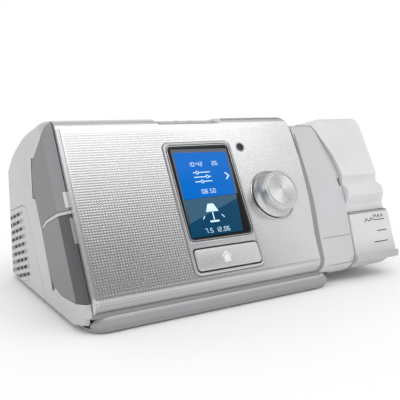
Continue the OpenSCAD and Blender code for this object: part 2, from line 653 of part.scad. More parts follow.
module adapter_connector() color([0.15, 0.15, 0.17]) on_panel() difference() {
    translate([7.4, 39, main_h + 1.6]) cube([14, 20, 7]);
    translate([6, 41, main_h + 3]) cube([10, 16, 4.4]);
}

encoder_z = board_h + 1.6;
plunger_z = encoder_z + 0.8 + dial_travel + 0.1;
module dial_encoder() color([0.3, 0.3, 0.32]) on_panel() translate([dial_x, dial_s, 0]) difference() {
    translate([-7, -7, encoder_z]) cube([14, 14, 5]);
    translate([0, 0, encoder_z + 0.8]) cylinder(r = 5 + pin_play, h = 8);
}
module dial_plunger() color([0.85, 0.85, 0.8]) on_panel() translate([dial_x, dial_s, plunger_z])
    tube(5, shaft_r + pin_play, 3.4);
module dial_ring() color([0.7, 0.71, 0.73]) on_panel() translate([dial_x, dial_s, 0]) rotate_extrude($fn = 72)
    polygon([[dial_r + 0.5, 0], [dial_r + 0.6, 0.6], [dial_r + 1, 0.8], [dial_r + 1.6, 0.5], [dial_r + 1.8, 0]]);
module dial_shaft() color([0.6, 0.6, 0.62]) on_panel() translate([dial_x, dial_s, plunger_z]) {
    cylinder(r = shaft_r, h = dial_h - 3.2 - plunger_z);
    translate([0, 0, 3.4 + pin_play]) cylinder(r = 4.4, h = 0.8);
}
cove_z = dial_h - 3.2;
knob_z = dial_travel + seam;
cove_r = dial_face_r + 0.9;
module dial_knob() color([0.75, 0.76, 0.78]) on_panel() translate([dial_x, dial_s, 0]) rotate_extrude($fn = 72) polygon(concat(
    [[shaft_r + pin_play, knob_z + 0.7], [shaft_r + pin_play, cove_z], [0, cove_z], [0, dial_h - 0.6], [dial_face_r - 0.8, dial_h - 0.6],
     [dial_face_r - 0.8, dial_h], [dial_face_r + 0.4, dial_h], [dial_face_r + 1, dial_h - 0.5],
     [dial_face_r + 1, dial_h - 1.4], [dial_face_r + 0.5, dial_h - 1.9], [dial_face_r + 0.5, dial_h - 2.3],
     [dial_face_r + 1, dial_h - 2.7]],
    [for (i = [0:7]) let (u = i / 7) [cove_r + (dial_r - cove_r) * pow(u, 2.2), cove_z - (cove_z - knob_z - 0.5) * u]],
    [[dial_r, knob_z], [dial_r - 1.4, knob_z], [dial_r - 2.4, knob_z + 1.6],
     [dial_face_r - 1.5, dial_h - 4.6], [shaft_r + 2, dial_h - 4.6], [shaft_r + 2, knob_z + 0.7]]));
module dial_cap() color([0.82, 0.83, 0.85]) on_panel() translate([dial_x, dial_s, dial_h - 0.6])
    cylinder(r = dial_face_r - 0.8 - pin_play, h = 0.8);

home_stem = -5;
module home_button() color([0.77, 0.78, 0.8]) on_panel() {
    slab(box_outline(screen_x - home_w / 2, home_s0, screen_x + home_w / 2, home_s0 + home_h, 2.2), -3.7, 0.9);
    slab(box_outline(screen_x - home_w / 2 - 1, home_s0 - 1, screen_x + home_w / 2 + 1, home_s0 + home_h + 1, 2), -4.4, -3.5);
    translate([screen_x - 2, home_s - 2, home_stem]) cube([4, 4, 1]);
}
module home_switch() color([0.2, 0.2, 0.22]) on_panel() {
    translate([screen_x - 3, home_s - 3, board_h + 1.6]) cube([6, 6, 1.8]);
    translate([screen_x, home_s, board_h + 3.3]) cylinder(r = 1.6, h = home_stem - home_travel - 0.1 - board_h - 3.3);
}

start_top = body_h - 1.7;
start_y0 = crest_y + 3.4;
start_board_z = start_top - 15;
module start_button() color([0.8, 0.81, 0.82]) translate([screen_x, start_y0, 0]) {
    along_z(start_top - 7, start_top) polygon(box_outline(-start_w / 2, 0, start_w / 2, start_d, 3));
    translate([-2, start_d / 2 - 2, start_top - 9]) cube([4, 4, 2.1]);
}
module start_switch() color([0.12, 0.3, 0.18]) {
    translate([screen_x - start_w / 2 - play - 1.6, start_y0 - play - 1.6, start_board_z - 1.6])
        cube([start_w + 2 * play + 3.2, start_d + 2 * play + 3.2, 1.6]);
    translate([screen_x, start_y0 + start_d / 2, start_board_z - eps]) {
        translate([-3, -3, 0]) cube([6, 6, 3]);
        cylinder(r = 1.6, h = start_top - 9 - start_travel - 0.1 - start_board_z);
    }
}

module power_inlet() color([0.1, 0.1, 0.11]) difference() {
    translate([inlet_x - 8.9, body_d - 20, inlet_z - 7.9]) cube([17.8, 15, 15.8]);
    translate([inlet_x, body_d - 4, inlet_z]) rotate([90, 0, 0]) cylinder(r = inlet_r, h = inlet_depth + 1);
}
clip_y = body_d - 2.2;
clip_axis_z = skirt_z + 3;
module retention_clip() color([0.5, 0.51, 0.53]) difference() {
    union() {
        translate([inlet_x - 12, clip_y - 1.6, clip_axis_z]) cube([24, 3.2, inlet_z + 8 - clip_axis_z]);
        translate([inlet_x - 12, clip_y, clip_axis_z]) rotate([0, 90, 0]) cylinder(r = 1.8, h = 24);
    }
    translate([inlet_x - 13, clip_y, clip_axis_z]) rotate([0, 90, 0]) cylinder(r = pin_r + pin_play, h = 26);
    translate([inlet_x, clip_y - 5, inlet_z]) rotate([-90, 0, 0]) cylinder(r = 6, h = 9);
    translate([inlet_x - 6, clip_y - 5, inlet_z]) cube([12, 9, 20]);
}
module clip_pin() color([0.6, 0.6, 0.62]) translate([inlet_x - 14, clip_y, clip_axis_z]) rotate([0, 90, 0])
    cylinder(r = pin_r, h = 28);

outlet_y0 = pocket_y - wall - 3.4;
outlet_root = outlet_r + 1.4;
module air_outlet() color([0.55, 0.56, 0.58]) translate([outlet_x, outlet_y0, outlet_z]) rotate([-90, 0, 0]) difference() {
    union() {
        cylinder(r = outlet_r, h = body_d - outlet_y0);
        cylinder(r = outlet_root, h = body_d - outlet_len - outlet_y0);
        cylinder(r = outlet_root + 1.6, h = 3.4);
    }
    translate([0, 0, -1]) cylinder(r = outlet_bore, h = outlet_len + 20);
}
module duct_run(r, over) translate([outlet_x, port_out[0], outlet_z]) {
    rotate([0, 90, 0]) cylinder(r = r, h = dock_x + dock_t - outlet_x + over);
    rotate([-90, 0, 0]) cylinder(r = r, h = outlet_y0 - port_out[0] + over);
    sphere(r = r);
}
module outlet_elbow() color([0.45, 0.46, 0.48]) difference() {
    duct_run(duct_r + duct_t, 0);
    duct_run(duct_r, 1);
}

volute_z = 44;
volute_h = 26;
volute_exit = 34;
function spiral(r0, grow) = [for (a = [0:10:360]) (r0 + grow * a / 360) * [cos(a - 90), sin(a - 90)]];
module volute_plan(e) {
    polygon(spiral(impeller_r + 2.6 + e, 9));
    translate([0, -(impeller_r + 11.6 + e)]) square([volute_exit, 17 + 2 * e]);
}
module blower_at(z) translate([blower_x, blower_y, z]) children();
module volute_lower() color([0.3, 0.31, 0.33]) blower_at(volute_z) difference() {
    linear_extrude(volute_h / 2) volute_plan(1.8);
    translate([0, 0, 1.8]) linear_extrude(volute_h) volute_plan(0);
    translate([30, -(impeller_r + 11.6), 1.8]) cube([10, 17, 40]);
    translate([0, 0, -1]) cylinder(r = 5, h = 5);
}
module volute_upper() color([0.33, 0.34, 0.36]) blower_at(volute_z + volute_h / 2) difference() {
    linear_extrude(volute_h / 2) volute_plan(1.8);
    translate([0, 0, -1]) linear_extrude(volute_h / 2 - 0.8) volute_plan(0);
    translate([30, -(impeller_r + 11.6), -1]) cube([10, 17, volute_h / 2 - 0.8]);
    translate([0, 0, -1]) cylinder(r = 12, h = 40);
}
module blower_duct() color([0.15, 0.15, 0.16]) difference() {
    union() {
        port(port_in, duct_r + duct_t, blower_x + volute_exit, dock_x + dock_t);
        translate([blower_x + volute_exit, port_in[0] - 10.3, volute_z]) cube([1.6, 20.6, volute_h]);
    }
    port(port_in, duct_r, blower_x, 200);
}
module blower_mount() color([0.2, 0.2, 0.22]) blower_at(20) difference() {
    cylinder(r = motor_r + 2.4, h = 12);
    translate([0, 0, 2]) cylinder(r = motor_r + 0.1, h = 20);
    translate([0, 0, -1]) cylinder(r = motor_r - 3, h = 20);
}
motor_z = 22;
module motor_case() color([0.5, 0.5, 0.52]) blower_at(motor_z) difference() {
    cylinder(r = motor_r, h = volute_z - motor_z);
    translate([0, 0, 1.5]) cylinder(r = motor_r - 1.2, h = 60);
    translate([0, 0, -1]) cylinder(r = 3.2, h = 10);
}
module motor_stator() color([0.6, 0.4, 0.25]) blower_at(motor_z + 6) difference() {
    cylinder(r = motor_r - 1.25, h = 10);
    translate([0, 0, -1]) cylinder(r = 8.2, h = 20);
    for (k = [0:5]) rotate(60 * k) translate([11.9, 0, -1]) cylinder(r = 2.3, h = 20);
}
module motor_bearings() color([0.7, 0.7, 0.72]) {
    blower_at(motor_z) tube(3.15, rotor_r + pin_play, 3);
    blower_at(volute_z) tube(4.95, rotor_r + pin_play, 1.8);
}
module rotor_shaft() color([0.75, 0.75, 0.77]) blower_at(motor_z + 0.4) {
    cylinder(r = rotor_r, h = volute_z + 12 - motor_z);
    translate([0, 0, 5.8]) cylinder(r = 7.8, h = 9.6);
}
function blade(r) = r * [cos(1.6 * (r - 4.6)), sin(1.6 * (r - 4.6))];
module impeller() color([0.85, 0.86, 0.88]) blower_at(volute_z + 4) difference() {
    union() {
        cylinder(r = impeller_r, h = 1.2);
        cylinder(r = 5, h = 9);
        for (k = [0:blades - 1]) rotate(360 * k / blades) linear_extrude(9)
            polygon(strip([for (i = [0:5]) blade(4.4 + (impeller_r - 4.8) * i / 5)], -0.4, 0.4));
    }
    translate([0, 0, -1]) cylinder(r = rotor_r, h = 20);
}

module muffler_foam() color([0.25, 0.25, 0.26]) difference() {
    translate([12.2, frame_y0, 3.5]) cube([22, frame_y1 - frame_y0 - 4, 38]);
    translate([11, frame_y0 + 8, 14]) cube([18, frame_y1 - frame_y0 - 20, 20]);
    translate([26, frame_y0 + 12, 18]) cube([20, 16, 14]);
}
module air_filter() color([0.9, 0.9, 0.88]) difference() {
    translate([3.4, frame_y0 + 2.1, 8.1]) cube([6.7, frame_y1 - frame_y0 - 4.2, frame_z1 - 10.2]);
    for (i = [0:9]) translate([0, frame_y0 + 4.5 + 4.4 * i, 10.5]) cube([5, 1.8, frame_z1 - 15]);
}

// Rows of short slots, rising to the front
module grille_slots() for (row = [0:8]) translate([-20, 117 - 2.3 * row, 51.2 - 4.75 * row]) rotate([-17, 0, 0])
    for (k = [0:2]) translate([0, (row % 2) * 4 + 9.5 * k, -0.9]) cube([40, 6.6, 1.9]);
module filter_cover() color([0.7, 0.71, 0.72]) difference() {
    union() {
        difference() {
            intersection() {
                union() {
                    left_end();
                    translate([3, 100, skirt_z]) cube([40, body_d - 100, 50]);
                }
                filter_block(play, filter_axis[0]);
                plan_bounds();
            }
            inner_bounds(wall, 70);
            grille_slots();
        }
        at_filter_hinge() cylinder(r = knuckle_r, h = pin_l);
    }
    at_filter_hinge() translate([0, 0, -1]) cylinder(r = pin_r + pin_play, h = pin_l + 2);
    // Room for the hinge's lugs
    for (z = [-40, pin_l]) at_filter_hinge() translate([-2.2, -5, z == -40 ? -14 : pin_l]) cube([10, 10, z == -40 ? 14 : 30]);
}
module filter_cover_pin() color([0.6, 0.6, 0.62]) at_filter_hinge() translate([0, 0, -2]) cylinder(r = pin_r, h = pin_l + 4);

module left_skin() difference() {
    left_end();
    left_end(2.2, 3.2);
}
module sd_cover() color([0.45, 0.46, 0.48]) difference() {
    union() {
        intersection() {
            left_skin();
            along_x(-left_bulge, panel_x0 - play) difference() {
                polygon(leaf(play));
                polygon(below_split(0));
            }
        }
        at_sd_hinge() cylinder(r = knuckle_r, h = pin_l);
    }
    at_sd_hinge() translate([0, 0, -13]) cylinder(r = pin_r + pin_play, h = pin_l + 22);
}
module sd_cover_pin() color([0.6, 0.6, 0.62]) at_sd_hinge() translate([0, 0, -12]) cylinder(r = pin_r, h = pin_l + 20);
module adapter_cover() color([0.48, 0.49, 0.51]) difference() {
    union() {
        intersection() {
            left_skin();
            along_x(-left_bulge, panel_x0 - play) intersection() {
                polygon(leaf(play));
                polygon(below_split(-2 * play - split_bar));
            }
        }
        at_adapter_hinge() translate([0, 0, -pin_l / 2]) cylinder(r = knuckle_r, h = pin_l);
    }
    at_adapter_hinge() cylinder(r = pin_r + pin_play, h = 44, center = true);
}
module adapter_cover_pin() color([0.6, 0.6, 0.62]) at_adapter_hinge() translate([0, 0, -22.6]) cylinder(r = pin_r, h = 44.2);

// The tub: an inner part that fills the dock and an outer part that stands out of the shell
tub_x0 = dock_x + dock_t + 3.5;
inner_x1 = 221;
tub_back = body_d - 1;
tray_z = 13.2;
rim_z1 = 18.5;
seal_t = 1.2;
tub_fit = dock_t + tub_gap;
// Front of the lid from its lower edge up, as [height, rise above the sloped plane, radius]
lid_front = [[split_z - 6, -2, 0], [split_z + 1, -2, 1], [52, -0.7, 3], [58.5, 3.4, 2], [63.4, 4.4, 1], [66.3, 0.5, 1],
    [69, 0.8, 2], [73, lid_rise, 1.5], [body_h - 0.7, lid_rise, 6]];
lid_inner = [[split_z - 8, -4, 0], [52, -3.6, 0], [60, 0.2, 0], [64, 0.6, 0], [67.5, -2.2, 0], [74, -1, 0], [shell_crest - 3.4, -1, 2]];
function sloped(list) = [for (p = list) [slope_y(p[0], -p[1]), p[0], p[2]]];
module lid_form(e) {
    along_x(tub_x0 + e, inner_x1) polygon(dock_outline(tub_fit + e));
    difference() {
        along_x(190, tub_end_x - e) polygon(e == 0
            ? rounded(concat(sloped(lid_front), [[roof_y(19.7), shell_crest - 2.4, 20],
                [roof_y(40.7), shell_crest - 6.2, 60], [roof_y(72.7), shell_crest - 18.5, 60],
                [tub_back, shell_crest - 36, 8], [tub_back, split_z - 6, 0]]))
            : rounded(concat(sloped(lid_inner), [[roof_y(19.7), shell_crest - 5.4, 20],
                [roof_y(40.2), shell_crest - 8.6, 60], [roof_y(71.7), shell_crest - 20.6, 60],
                [tub_back - e, shell_crest - 37.6, 8], [tub_back - e, split_z - 8, 0]])));
        left_of_edge(0.6 + e);
    }
}
module base_form(e) {
    along_x(tub_x0 + e, inner_x1) polygon(dock_outline(tub_fit + e));
    difference() {
        intersection() {
            along_x(190, tub_end_x + 10) polygon([[slope_y(10, e - 1), 10], [slope_y(60, e - 1), 60],
                [tub_back - e, 60], [tub_back - e, 10]]);
            along_y(-20, 200) polygon([[150, 10], [150, 60], [tub_end_x + 3.1 - e, 60], [tub_end_x - 7.5 - e, 10]]);
        }
        left_of_edge(0.6 + e);
    }
}
module heights(z0, z1) translate([100, -50, z0]) cube([200, 300, z1 - z0]);
module tub_lid() color([0.86, 0.87, 0.88]) difference() {
    intersection() {
        lid_form(0);
        heights(split_z + seal_t / 2, 200);
    }
    lid_form(tub_t);
    for (p = [port_in, port_out]) port(p, duct_r, dock_x, dock_x + 12);
    // Bevel from the shell's edge up to the lid's face and its crest
    on_panel() translate([211.5, 104.6, lid_rise]) rotate([0, 0, -11.9]) rotate([-90, 0, 0]) translate([0, 0, -20])
        linear_extrude(100) polygon([[0, 0], [0, -30], [-60, -30], [-60, 60 * tan(14.5)]]);
    along_y(48, 200) polygon([[150, shell_crest - 0.5], [203, shell_crest - 0.5], [216.8, body_h - 0.8],
        [216.8, body_h + 24], [150, body_h + 24]]);
    // Rounded top right edge
    along_y(-20, 200) polygon([[tub_end_x - 5, body_h], [tub_end_x - 3, body_h - 1.6], [tub_end_x - 1, body_h - 4],
        [tub_end_x, body_h - 7], [tub_end_x + 5, body_h - 7], [tub_end_x + 5, body_h + 5]]);
}
module tub_seal() color([0.3, 0.3, 0.32]) difference() {
    intersection() {
        base_form(0.5);
        heights(split_z - seal_t / 2, split_z + seal_t / 2);
    }
    base_form(1.5);
}
module tub_base() color([0.8, 0.85, 0.88, 0.5]) difference() {
    intersection() {
        base_form(0);
        heights(rim_z1, split_z - seal_t / 2);
    }
    base_form(tub_t);
}
rim_y = slope_y(16, -1.2);
module tub_tray() color([0.7, 0.71, 0.73]) difference() {
    union() {
        intersection() {
            along_x(tub_x0, inner_x1) polygon(dock_outline(tub_fit));
            heights(tray_z, rim_z1);
        }
        difference() {
            union() {
                along_x(180, tub_end_x - 4.5) polygon(box_outline(rim_y, 13.5, body_d - 0.4, rim_z1, 1));
                intersection() {
                    along_x(180, 245) polygon(rounded([[rim_y + 5.5, 8.7, 4], [rim_y + 2.2, 13.8, 0],
                        [body_d - 3, 13.8, 0], [body_d - 6, 8.7, 4]]));
                    along_y(-20, 200) polygon([[150, 5], [tub_end_x - 19, 5], [tub_end_x - 17.5, 9], [tub_end_x - 11, 13.9], [150, 13.9]]);
                }
            }
            left_of_edge(0.6);
        }
    }
    intersection() {
        base_form(tub_t);
        heights(tray_z + 2.2, 60);
    }
}
module tub_plate() color([0.8, 0.81, 0.82]) translate([heater_x0 + 1, heater_y0 + 1, tray_z - 0.8])
    cube([heater_w - 2, heater_d - 2, 0.8]);

place() base_tray();
place() rubber_feet();
place() base_screws();
place() upper_housing();
place() front_panel();
place() humidifier_shell();
place() humidifier_dock();
place() heater_plate();
place() docking_seals();
place() screen_frame();
place() screen_lens();
place() lcd_module();
place() sensor_lens();
place() display_board();
place() main_board();
place() board_screws();
place() sd_socket();
place() adapter_connector();
place() dial_encoder();
place() dial_ring();
place() dial_plunger();
place() dial_shaft();
place() dial_knob();
place() dial_cap();
place() home_button();
place() home_switch();
place() start_button();
place() start_switch();
place() power_inlet();
place() retention_clip();
place() clip_pin();
place() air_outlet();
place() outlet_elbow();
place() blower_duct();
place() blower_mount();
place() motor_case();
place() motor_stator();
place() motor_bearings();
place() rotor_shaft();
place() impeller();
place() volute_lower();
place() volute_upper();
place() muffler_foam();
place() air_filter();
place() filter_cover();
place() filter_cover_pin();
place() sd_cover();
place() sd_cover_pin();
place() adapter_cover();
place() adapter_cover_pin();
place() tub_base();
place() tub_tray();
place() tub_plate();
place() tub_seal();
place() tub_lid();
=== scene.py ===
"""Looks of a bilevel pap machine with its water tub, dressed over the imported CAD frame."""

import math

import bpy
from mathutils import Matrix, Vector


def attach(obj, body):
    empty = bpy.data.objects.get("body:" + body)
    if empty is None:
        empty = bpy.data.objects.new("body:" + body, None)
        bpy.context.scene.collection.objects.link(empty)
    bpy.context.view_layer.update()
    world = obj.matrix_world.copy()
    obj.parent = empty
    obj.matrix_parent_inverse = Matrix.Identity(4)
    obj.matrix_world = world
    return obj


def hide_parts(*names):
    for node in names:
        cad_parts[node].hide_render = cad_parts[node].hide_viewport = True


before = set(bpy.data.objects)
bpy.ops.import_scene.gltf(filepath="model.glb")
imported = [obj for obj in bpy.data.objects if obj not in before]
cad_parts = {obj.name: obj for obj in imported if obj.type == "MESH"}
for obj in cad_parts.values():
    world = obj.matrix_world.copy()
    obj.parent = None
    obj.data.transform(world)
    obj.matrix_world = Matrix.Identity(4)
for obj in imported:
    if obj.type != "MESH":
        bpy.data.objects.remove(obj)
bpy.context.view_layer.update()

# Sizes, in mm, as in the CAD model
MM = 0.001
MID_X, MID_Y = 123.5, 74.748          # middle of the whole machine, seen from above
PANEL_ANGLE = math.radians(61)
CREST_Y, BODY_H = 56.3, 116
FOOT_Y = CREST_Y - BODY_H / math.tan(PANEL_ANGLE)
PANEL_UP = Vector((0, math.cos(PANEL_ANGLE), math.sin(PANEL_ANGLE)))
PANEL_OUT = Vector((0, -math.sin(PANEL_ANGLE), math.cos(PANEL_ANGLE)))
TOE_R, TOE_Y, TOE_Z = 10, 12.6, 16.5  # rolled lower edge of the front


def at(x, y, z):
    """A point of the body frame, in mm, as a point of the shared frame, in metres."""
    return Vector(((x - MID_X) * MM, (y - MID_Y) * MM, z * MM))


def on_panel(x, t, h=0):
    """A point x along the sloped front, t up it from its foot line and h out of it, in mm."""
    return at(x, FOOT_Y, 0) + (PANEL_UP * t + PANEL_OUT * h) * MM


def on_front(x, z, h=0):
    """A point of the front at height z, also on its rolled lower edge, h out of it."""
    if z > TOE_Z + TOE_R * math.cos(PANEL_ANGLE):
        return on_panel(x, z / math.sin(PANEL_ANGLE), h)
    out = Vector((0, -math.sqrt(TOE_R ** 2 - (TOE_Z - z) ** 2), z - TOE_Z)) / TOE_R
    return at(x, TOE_Y, TOE_Z) + out * ((TOE_R + h) * MM)


# Node helpers
class Material:
    """A node material with one principled shader and short calls for procedural detail."""

    def __init__(self, name, color, rough, metal=0.0, **sockets):
        self.mat = bpy.data.materials.new(name)
        self.mat.use_nodes = True
        self.tree = self.mat.node_tree
        self.shader = self.tree.nodes["Principled BSDF"]
        self.color = tuple(color)
        self.rough = rough
        self.put("Base Color", self.color + (1,))
        self.put("Roughness", rough)
        self.put("Metallic", metal)
        for k, v in sockets.items():
            self.put(k.replace("_", " "), v)
        self.coords = self.node("ShaderNodeTexCoord").outputs["Object"]

    def put(self, socket, value):
        self.shader.inputs[socket].default_value = value
        return self

    def node(self, kind, **settings):
        n = self.tree.nodes.new(kind)
        for k, v in settings.items():
            setattr(n, k, v)
        return n

    def link(self, a, b):
        self.tree.links.new(a, b)

    def math(self, op, first, *others):
        """A math node for one or two values, or a chain of them for more."""
        for other in others or (None,):
            n = self.node("ShaderNodeMath", operation=op)
            for socket, value in zip(n.inputs, (first, other)):
                if isinstance(value, (int, float)):
                    socket.default_value = value
                elif value is not None:
                    self.link(value, socket)
            first = n.outputs[0]
        return first

    def dot(self, direction, origin=(0, 0, 0)):
        """Distance along a direction from an origin, in metres."""
        sub = self.node("ShaderNodeVectorMath", operation="SUBTRACT")
        self.link(self.coords, sub.inputs[0])
        sub.inputs[1].default_value = origin
        n = self.node("ShaderNodeVectorMath", operation="DOT_PRODUCT")
        self.link(sub.outputs[0], n.inputs[0])
        n.inputs[1].default_value = direction
        return n.outputs["Value"]

    def from_axis(self):
        """Distance from the object's own Z axis, in metres."""
        split = self.node("ShaderNodeSeparateXYZ")
        self.link(self.coords, split.inputs[0])
        squares = [self.math("MULTIPLY", split.outputs[k], split.outputs[k]) for k in "XY"]
        return self.math("SQRT", self.math("ADD", *squares))

    def wave(self, distance, pitch, op="SINE"):
        """A wave between -1 and 1 along a distance, with one turn to a pitch."""
        return self.math(op, self.math("MULTIPLY", distance, 2 * math.pi / pitch))

    def noise(self, scale, detail=2.0, stretch=(1, 1, 1)):
        """Soft noise from 0 to 1, with its scale in features to the metre."""
        m = self.node("ShaderNodeMapping")
        self.link(self.coords, m.inputs["Vector"])
        m.inputs["Scale"].default_value = stretch
        n = self.node("ShaderNodeTexNoise")
        n.inputs["Scale"].default_value = scale
        n.inputs["Detail"].default_value = detail
        self.link(m.outputs[0], n.inputs["Vector"])
        return n.outputs["Fac"]

    def ramp(self, value, low, high, at_low=0.0, at_high=1.0):
        """A value carried from the range low to high to another, and held at its ends."""
        n = self.node("ShaderNodeMapRange")
        self.link(value, n.inputs["Value"])
        for i, v in enumerate((low, high, at_low, at_high)):
            n.inputs[i + 1].default_value = v
        return n.outputs["Result"]

    def bump(self, height, distance, strength, base=None):
        """Relief of the shader, over a base relief where there is one."""
        n = self.node("ShaderNodeBump")
        n.inputs["Strength"].default_value = strength
        n.inputs["Distance"].default_value = distance
        self.link(height, n.inputs["Height"])
        if base is not None:
            self.link(base, n.inputs["Normal"])
        self.link(n.outputs["Normal"], self.shader.inputs["Normal"])
        return n.outputs["Normal"]

    def tint(self, factor, dark, light=None):
        """Colour runs from dark to light with the factor."""
        n = self.node("ShaderNodeMix", data_type="RGBA")
        self.link(factor, n.inputs["Factor"])
        n.inputs["A"].default_value = tuple(dark) + (1,)
        n.inputs["B"].default_value = tuple(light or self.color) + (1,)
        self.link(n.outputs["Result"], self.shader.inputs["Base Color"])
        return self

    def vary_rough(self, factor, spread):
        """Roughness wanders by a spread to both sides with the factor."""
        self.link(self.ramp(factor, 0.3, 0.7, self.rough - spread, self.rough + spread),
                  self.shader.inputs["Roughness"])
        return self


def seen_rays(tree):
    """1 on a ray of the camera, a mirror or a clear part, and 0 on a ray that lights the object."""
    path = tree.nodes.new("ShaderNodeLightPath")
    seen = path.outputs["Is Camera Ray"]
    for kind in ("Is Glossy Ray", "Is Transmission Ray"):
        n = tree.nodes.new("ShaderNodeMath")
        n.operation = "MAXIMUM"
        tree.links.new(seen, n.inputs[0])
        tree.links.new(path.outputs[kind], n.inputs[1])
        seen = n.outputs[0]
    return seen


# Outlines
def arc(cx, cy, r, a0, a1, n=10):
    """Points of an arc between two angles in degrees."""
    angles = [math.radians(a0 + (a1 - a0) * i / n) for i in range(n + 1)]
    return [(cx + r * math.cos(a), cy + r * math.sin(a)) for a in angles]


def rounded_box(x0, y0, x1, y1, r, n=5):
    corners = ((x1 - r, y0 + r, -90), (x1 - r, y1 - r, 0), (x0 + r, y1 - r, 90), (x0 + r, y0 + r, 180))
    return [p for cx, cy, start in corners for p in arc(cx, cy, r, start, start + 90, n)]


def mitre(before, after, limit=0.35):
    """Step to the left of a corner between two directions, per unit of distance."""
    na, nb = Vector((-before.y, before.x)), Vector((-after.y, after.x))
    return (na + nb) / max(limit, 1 + na.dot(nb))


def stroke(points, width):
    """Outline of an open line of some width, mitred at its corners."""
    points = [Vector(p) for p in points]
    steps = [(b - a).normalized() for a, b in zip(points, points[1:])]
    left, right = [], []
    for p, before, after in zip(points, steps[:1] + steps, steps + steps[-1:]):
        side = mitre(before, after) * width / 2
        left.append(tuple(p + side))
        right.append(tuple(p - side))
    return right + left[::-1]


def ring_stroke(points, width):
    """A closed line as two half strokes."""
    half = len(points) // 2
    return [stroke(points[:half + 1], width), stroke(points[half:] + points[:1], width)]


def soft_curve(points, n=6):
    """Points of a soft curve through some points."""
    out = []
    last = len(points) - 1
    for i in range(last):
        a, b, c, d = (Vector(points[min(max(k, 0), last)]) for k in (i - 1, i, i + 1, i + 2))
        for j in range(n):
            t = j / n
            out.append(0.5 * (2 * b + (c - a) * t + (2 * a - 5 * b + 4 * c - d) * t * t
                              + (3 * b - a - 3 * c + d) * t ** 3))
    return out + [Vector(points[-1])]


# Mesh helpers
def make_piece(name, verts, faces, body, material, matrix=None):
    """A flat-shaded mesh as a visible piece that rides a body."""
    mesh = bpy.data.meshes.new(name)
    mesh.from_pydata([tuple(v) for v in verts], [], faces)
    mesh.validate()
    mesh.materials.append(material.mat)
    obj = bpy.data.objects.new(name, mesh)
    bpy.context.scene.collection.objects.link(obj)
    if matrix is not None:
        obj.matrix_world = matrix
    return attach(obj, body)


def ring_faces(rings, size, capped=True):
    """Faces between rings of points, with the ends capped or the last ring joined to the first."""
    faces = []
    for k in range(rings - 1 if capped else rings):
        a, b = k * size, (k + 1) % rings * size
        for i in range(size):
            j = (i + 1) % size
            faces.append((a + i, a + j, b + j, b + i))
    if capped:
        faces += [tuple(range((rings - 1) * size, rings * size)), tuple(reversed(range(size)))]
    return faces


def prism(outline, place, low, high, chamfer):
    """Points and faces of an outline raised from low to high, its top edge set in by the chamfer."""
    rings = [(low, 0.0), (high, 0.0)]
    if chamfer:
        rings = [(low, 0.0), (high - chamfer, 0.0), (high, chamfer)]
    corners = [Vector(p) for p in outline]
    steps = [(p - corners[i - 1]).normalized() for i, p in enumerate(corners)]
    verts = []
    for h, inset in rings:
        for p, before, after in zip(corners, steps, steps[1:] + steps[:1]):
            verts.append(place(*(p + mitre(before, after) * inset), h))
    return verts, ring_faces(len(rings), len(outline))


def plates(name, outlines, place, low, high, body, material, chamfer=0.0):
    """One piece of several small raised plates, whose outlines may run either way round."""
    verts, faces = [], []
    for o in outlines:
        area = sum(o[i - 1][0] * p[1] - p[0] * o[i - 1][1] for i, p in enumerate(o))
        v, f = prism(o if area > 0 else o[::-1], place, low, high, chamfer)
        faces += [tuple(i + len(verts) for i in face) for face in f]
        verts += v
    return make_piece(name, verts, faces, body, material)


def band(name, box, r, profile, body, material, capped=False, n=6):
    """A profile of [distance out, height] carried round a box of the panel with rounded corners."""
    x0, y0, x1, y1 = box
    least_r, sharp = 0.25, math.radians(38)
    verts = []
    for d, h in profile:
        loop = rounded_box(x0 - d, y0 - d, x1 + d, y1 + d, max(least_r, r + d), n)
        verts += [on_panel(x, t, h) for x, t in loop]
    obj = make_piece(name, verts, ring_faces(len(profile), len(loop), capped), body, material)
    for p in obj.data.polygons:
        p.use_smooth = True
    obj.data.set_sharp_from_angle(angle=sharp)
    return obj


def round_band(name, x, t, r, profile, material, n):
    """A profile carried round a circle of the panel."""
    return band(name, (x - r, t - r, x + r, t + r), r, profile, "case", material, n=n)


def ribbon(name, left, right, low, high, material):
    """A flat strip of the front between two lines with as many points each."""
    verts = []
    for a, b in zip(left, right):
        verts += [on_front(*a, low), on_front(*a, high), on_front(*b, high), on_front(*b, low)]
    return make_piece(name, verts, ring_faces(len(left), 4), "case", material)


def turned(name, profile, matrix, body, material, n=96):
    """A lathe form about the object's own Z axis, as [radius, height] in mm."""
    angles = [2 * math.pi * i / n for i in range(n)]
    verts = [(r * math.cos(a) * MM, r * math.sin(a) * MM, h * MM) for r, h in profile for a in angles]
    obj = make_piece(name, verts, ring_faces(len(profile), n), body, material, matrix)
    for p in obj.data.polygons:
        p.use_smooth = len(p.vertices) == 4
    return obj


# Materials
def shade(color, k):
    return tuple(min(1, c * k) for c in color)


def grained(name, color, rough, grain=900, depth=0.04 * MM, **sockets):
    """Moulded plastic: spark-eroded grain and uneven gloss."""
    m = Material(name, color, rough, **sockets)
    fine = m.noise(grain, 3)
    m.bump(fine, depth, 0.35)
    return m.vary_rough(fine, 0.05)


def moulded(name, color, rough, grain=900, depth=0.04 * MM, **sockets):
    """Moulded plastic with a faint cloudiness."""
    m = grained(name, color, rough, grain, depth, **sockets)
    return m.tint(m.ramp(m.noise(28), 0.35, 0.65), shade(color, 0.965), shade(color, 1.02))


def flake_and_mottle(m, cloud_scale):
    """Fine metal flake, and the same with slow clouds in it as a mottle from 0 to 1."""
    flake, cloud = m.noise(5200), m.noise(cloud_scale)
    mix = m.math("ADD", m.math("MULTIPLY", flake, 0.6), m.math("MULTIPLY", cloud, 0.4))
    return flake, m.ramp(mix, 0.38, 0.62)


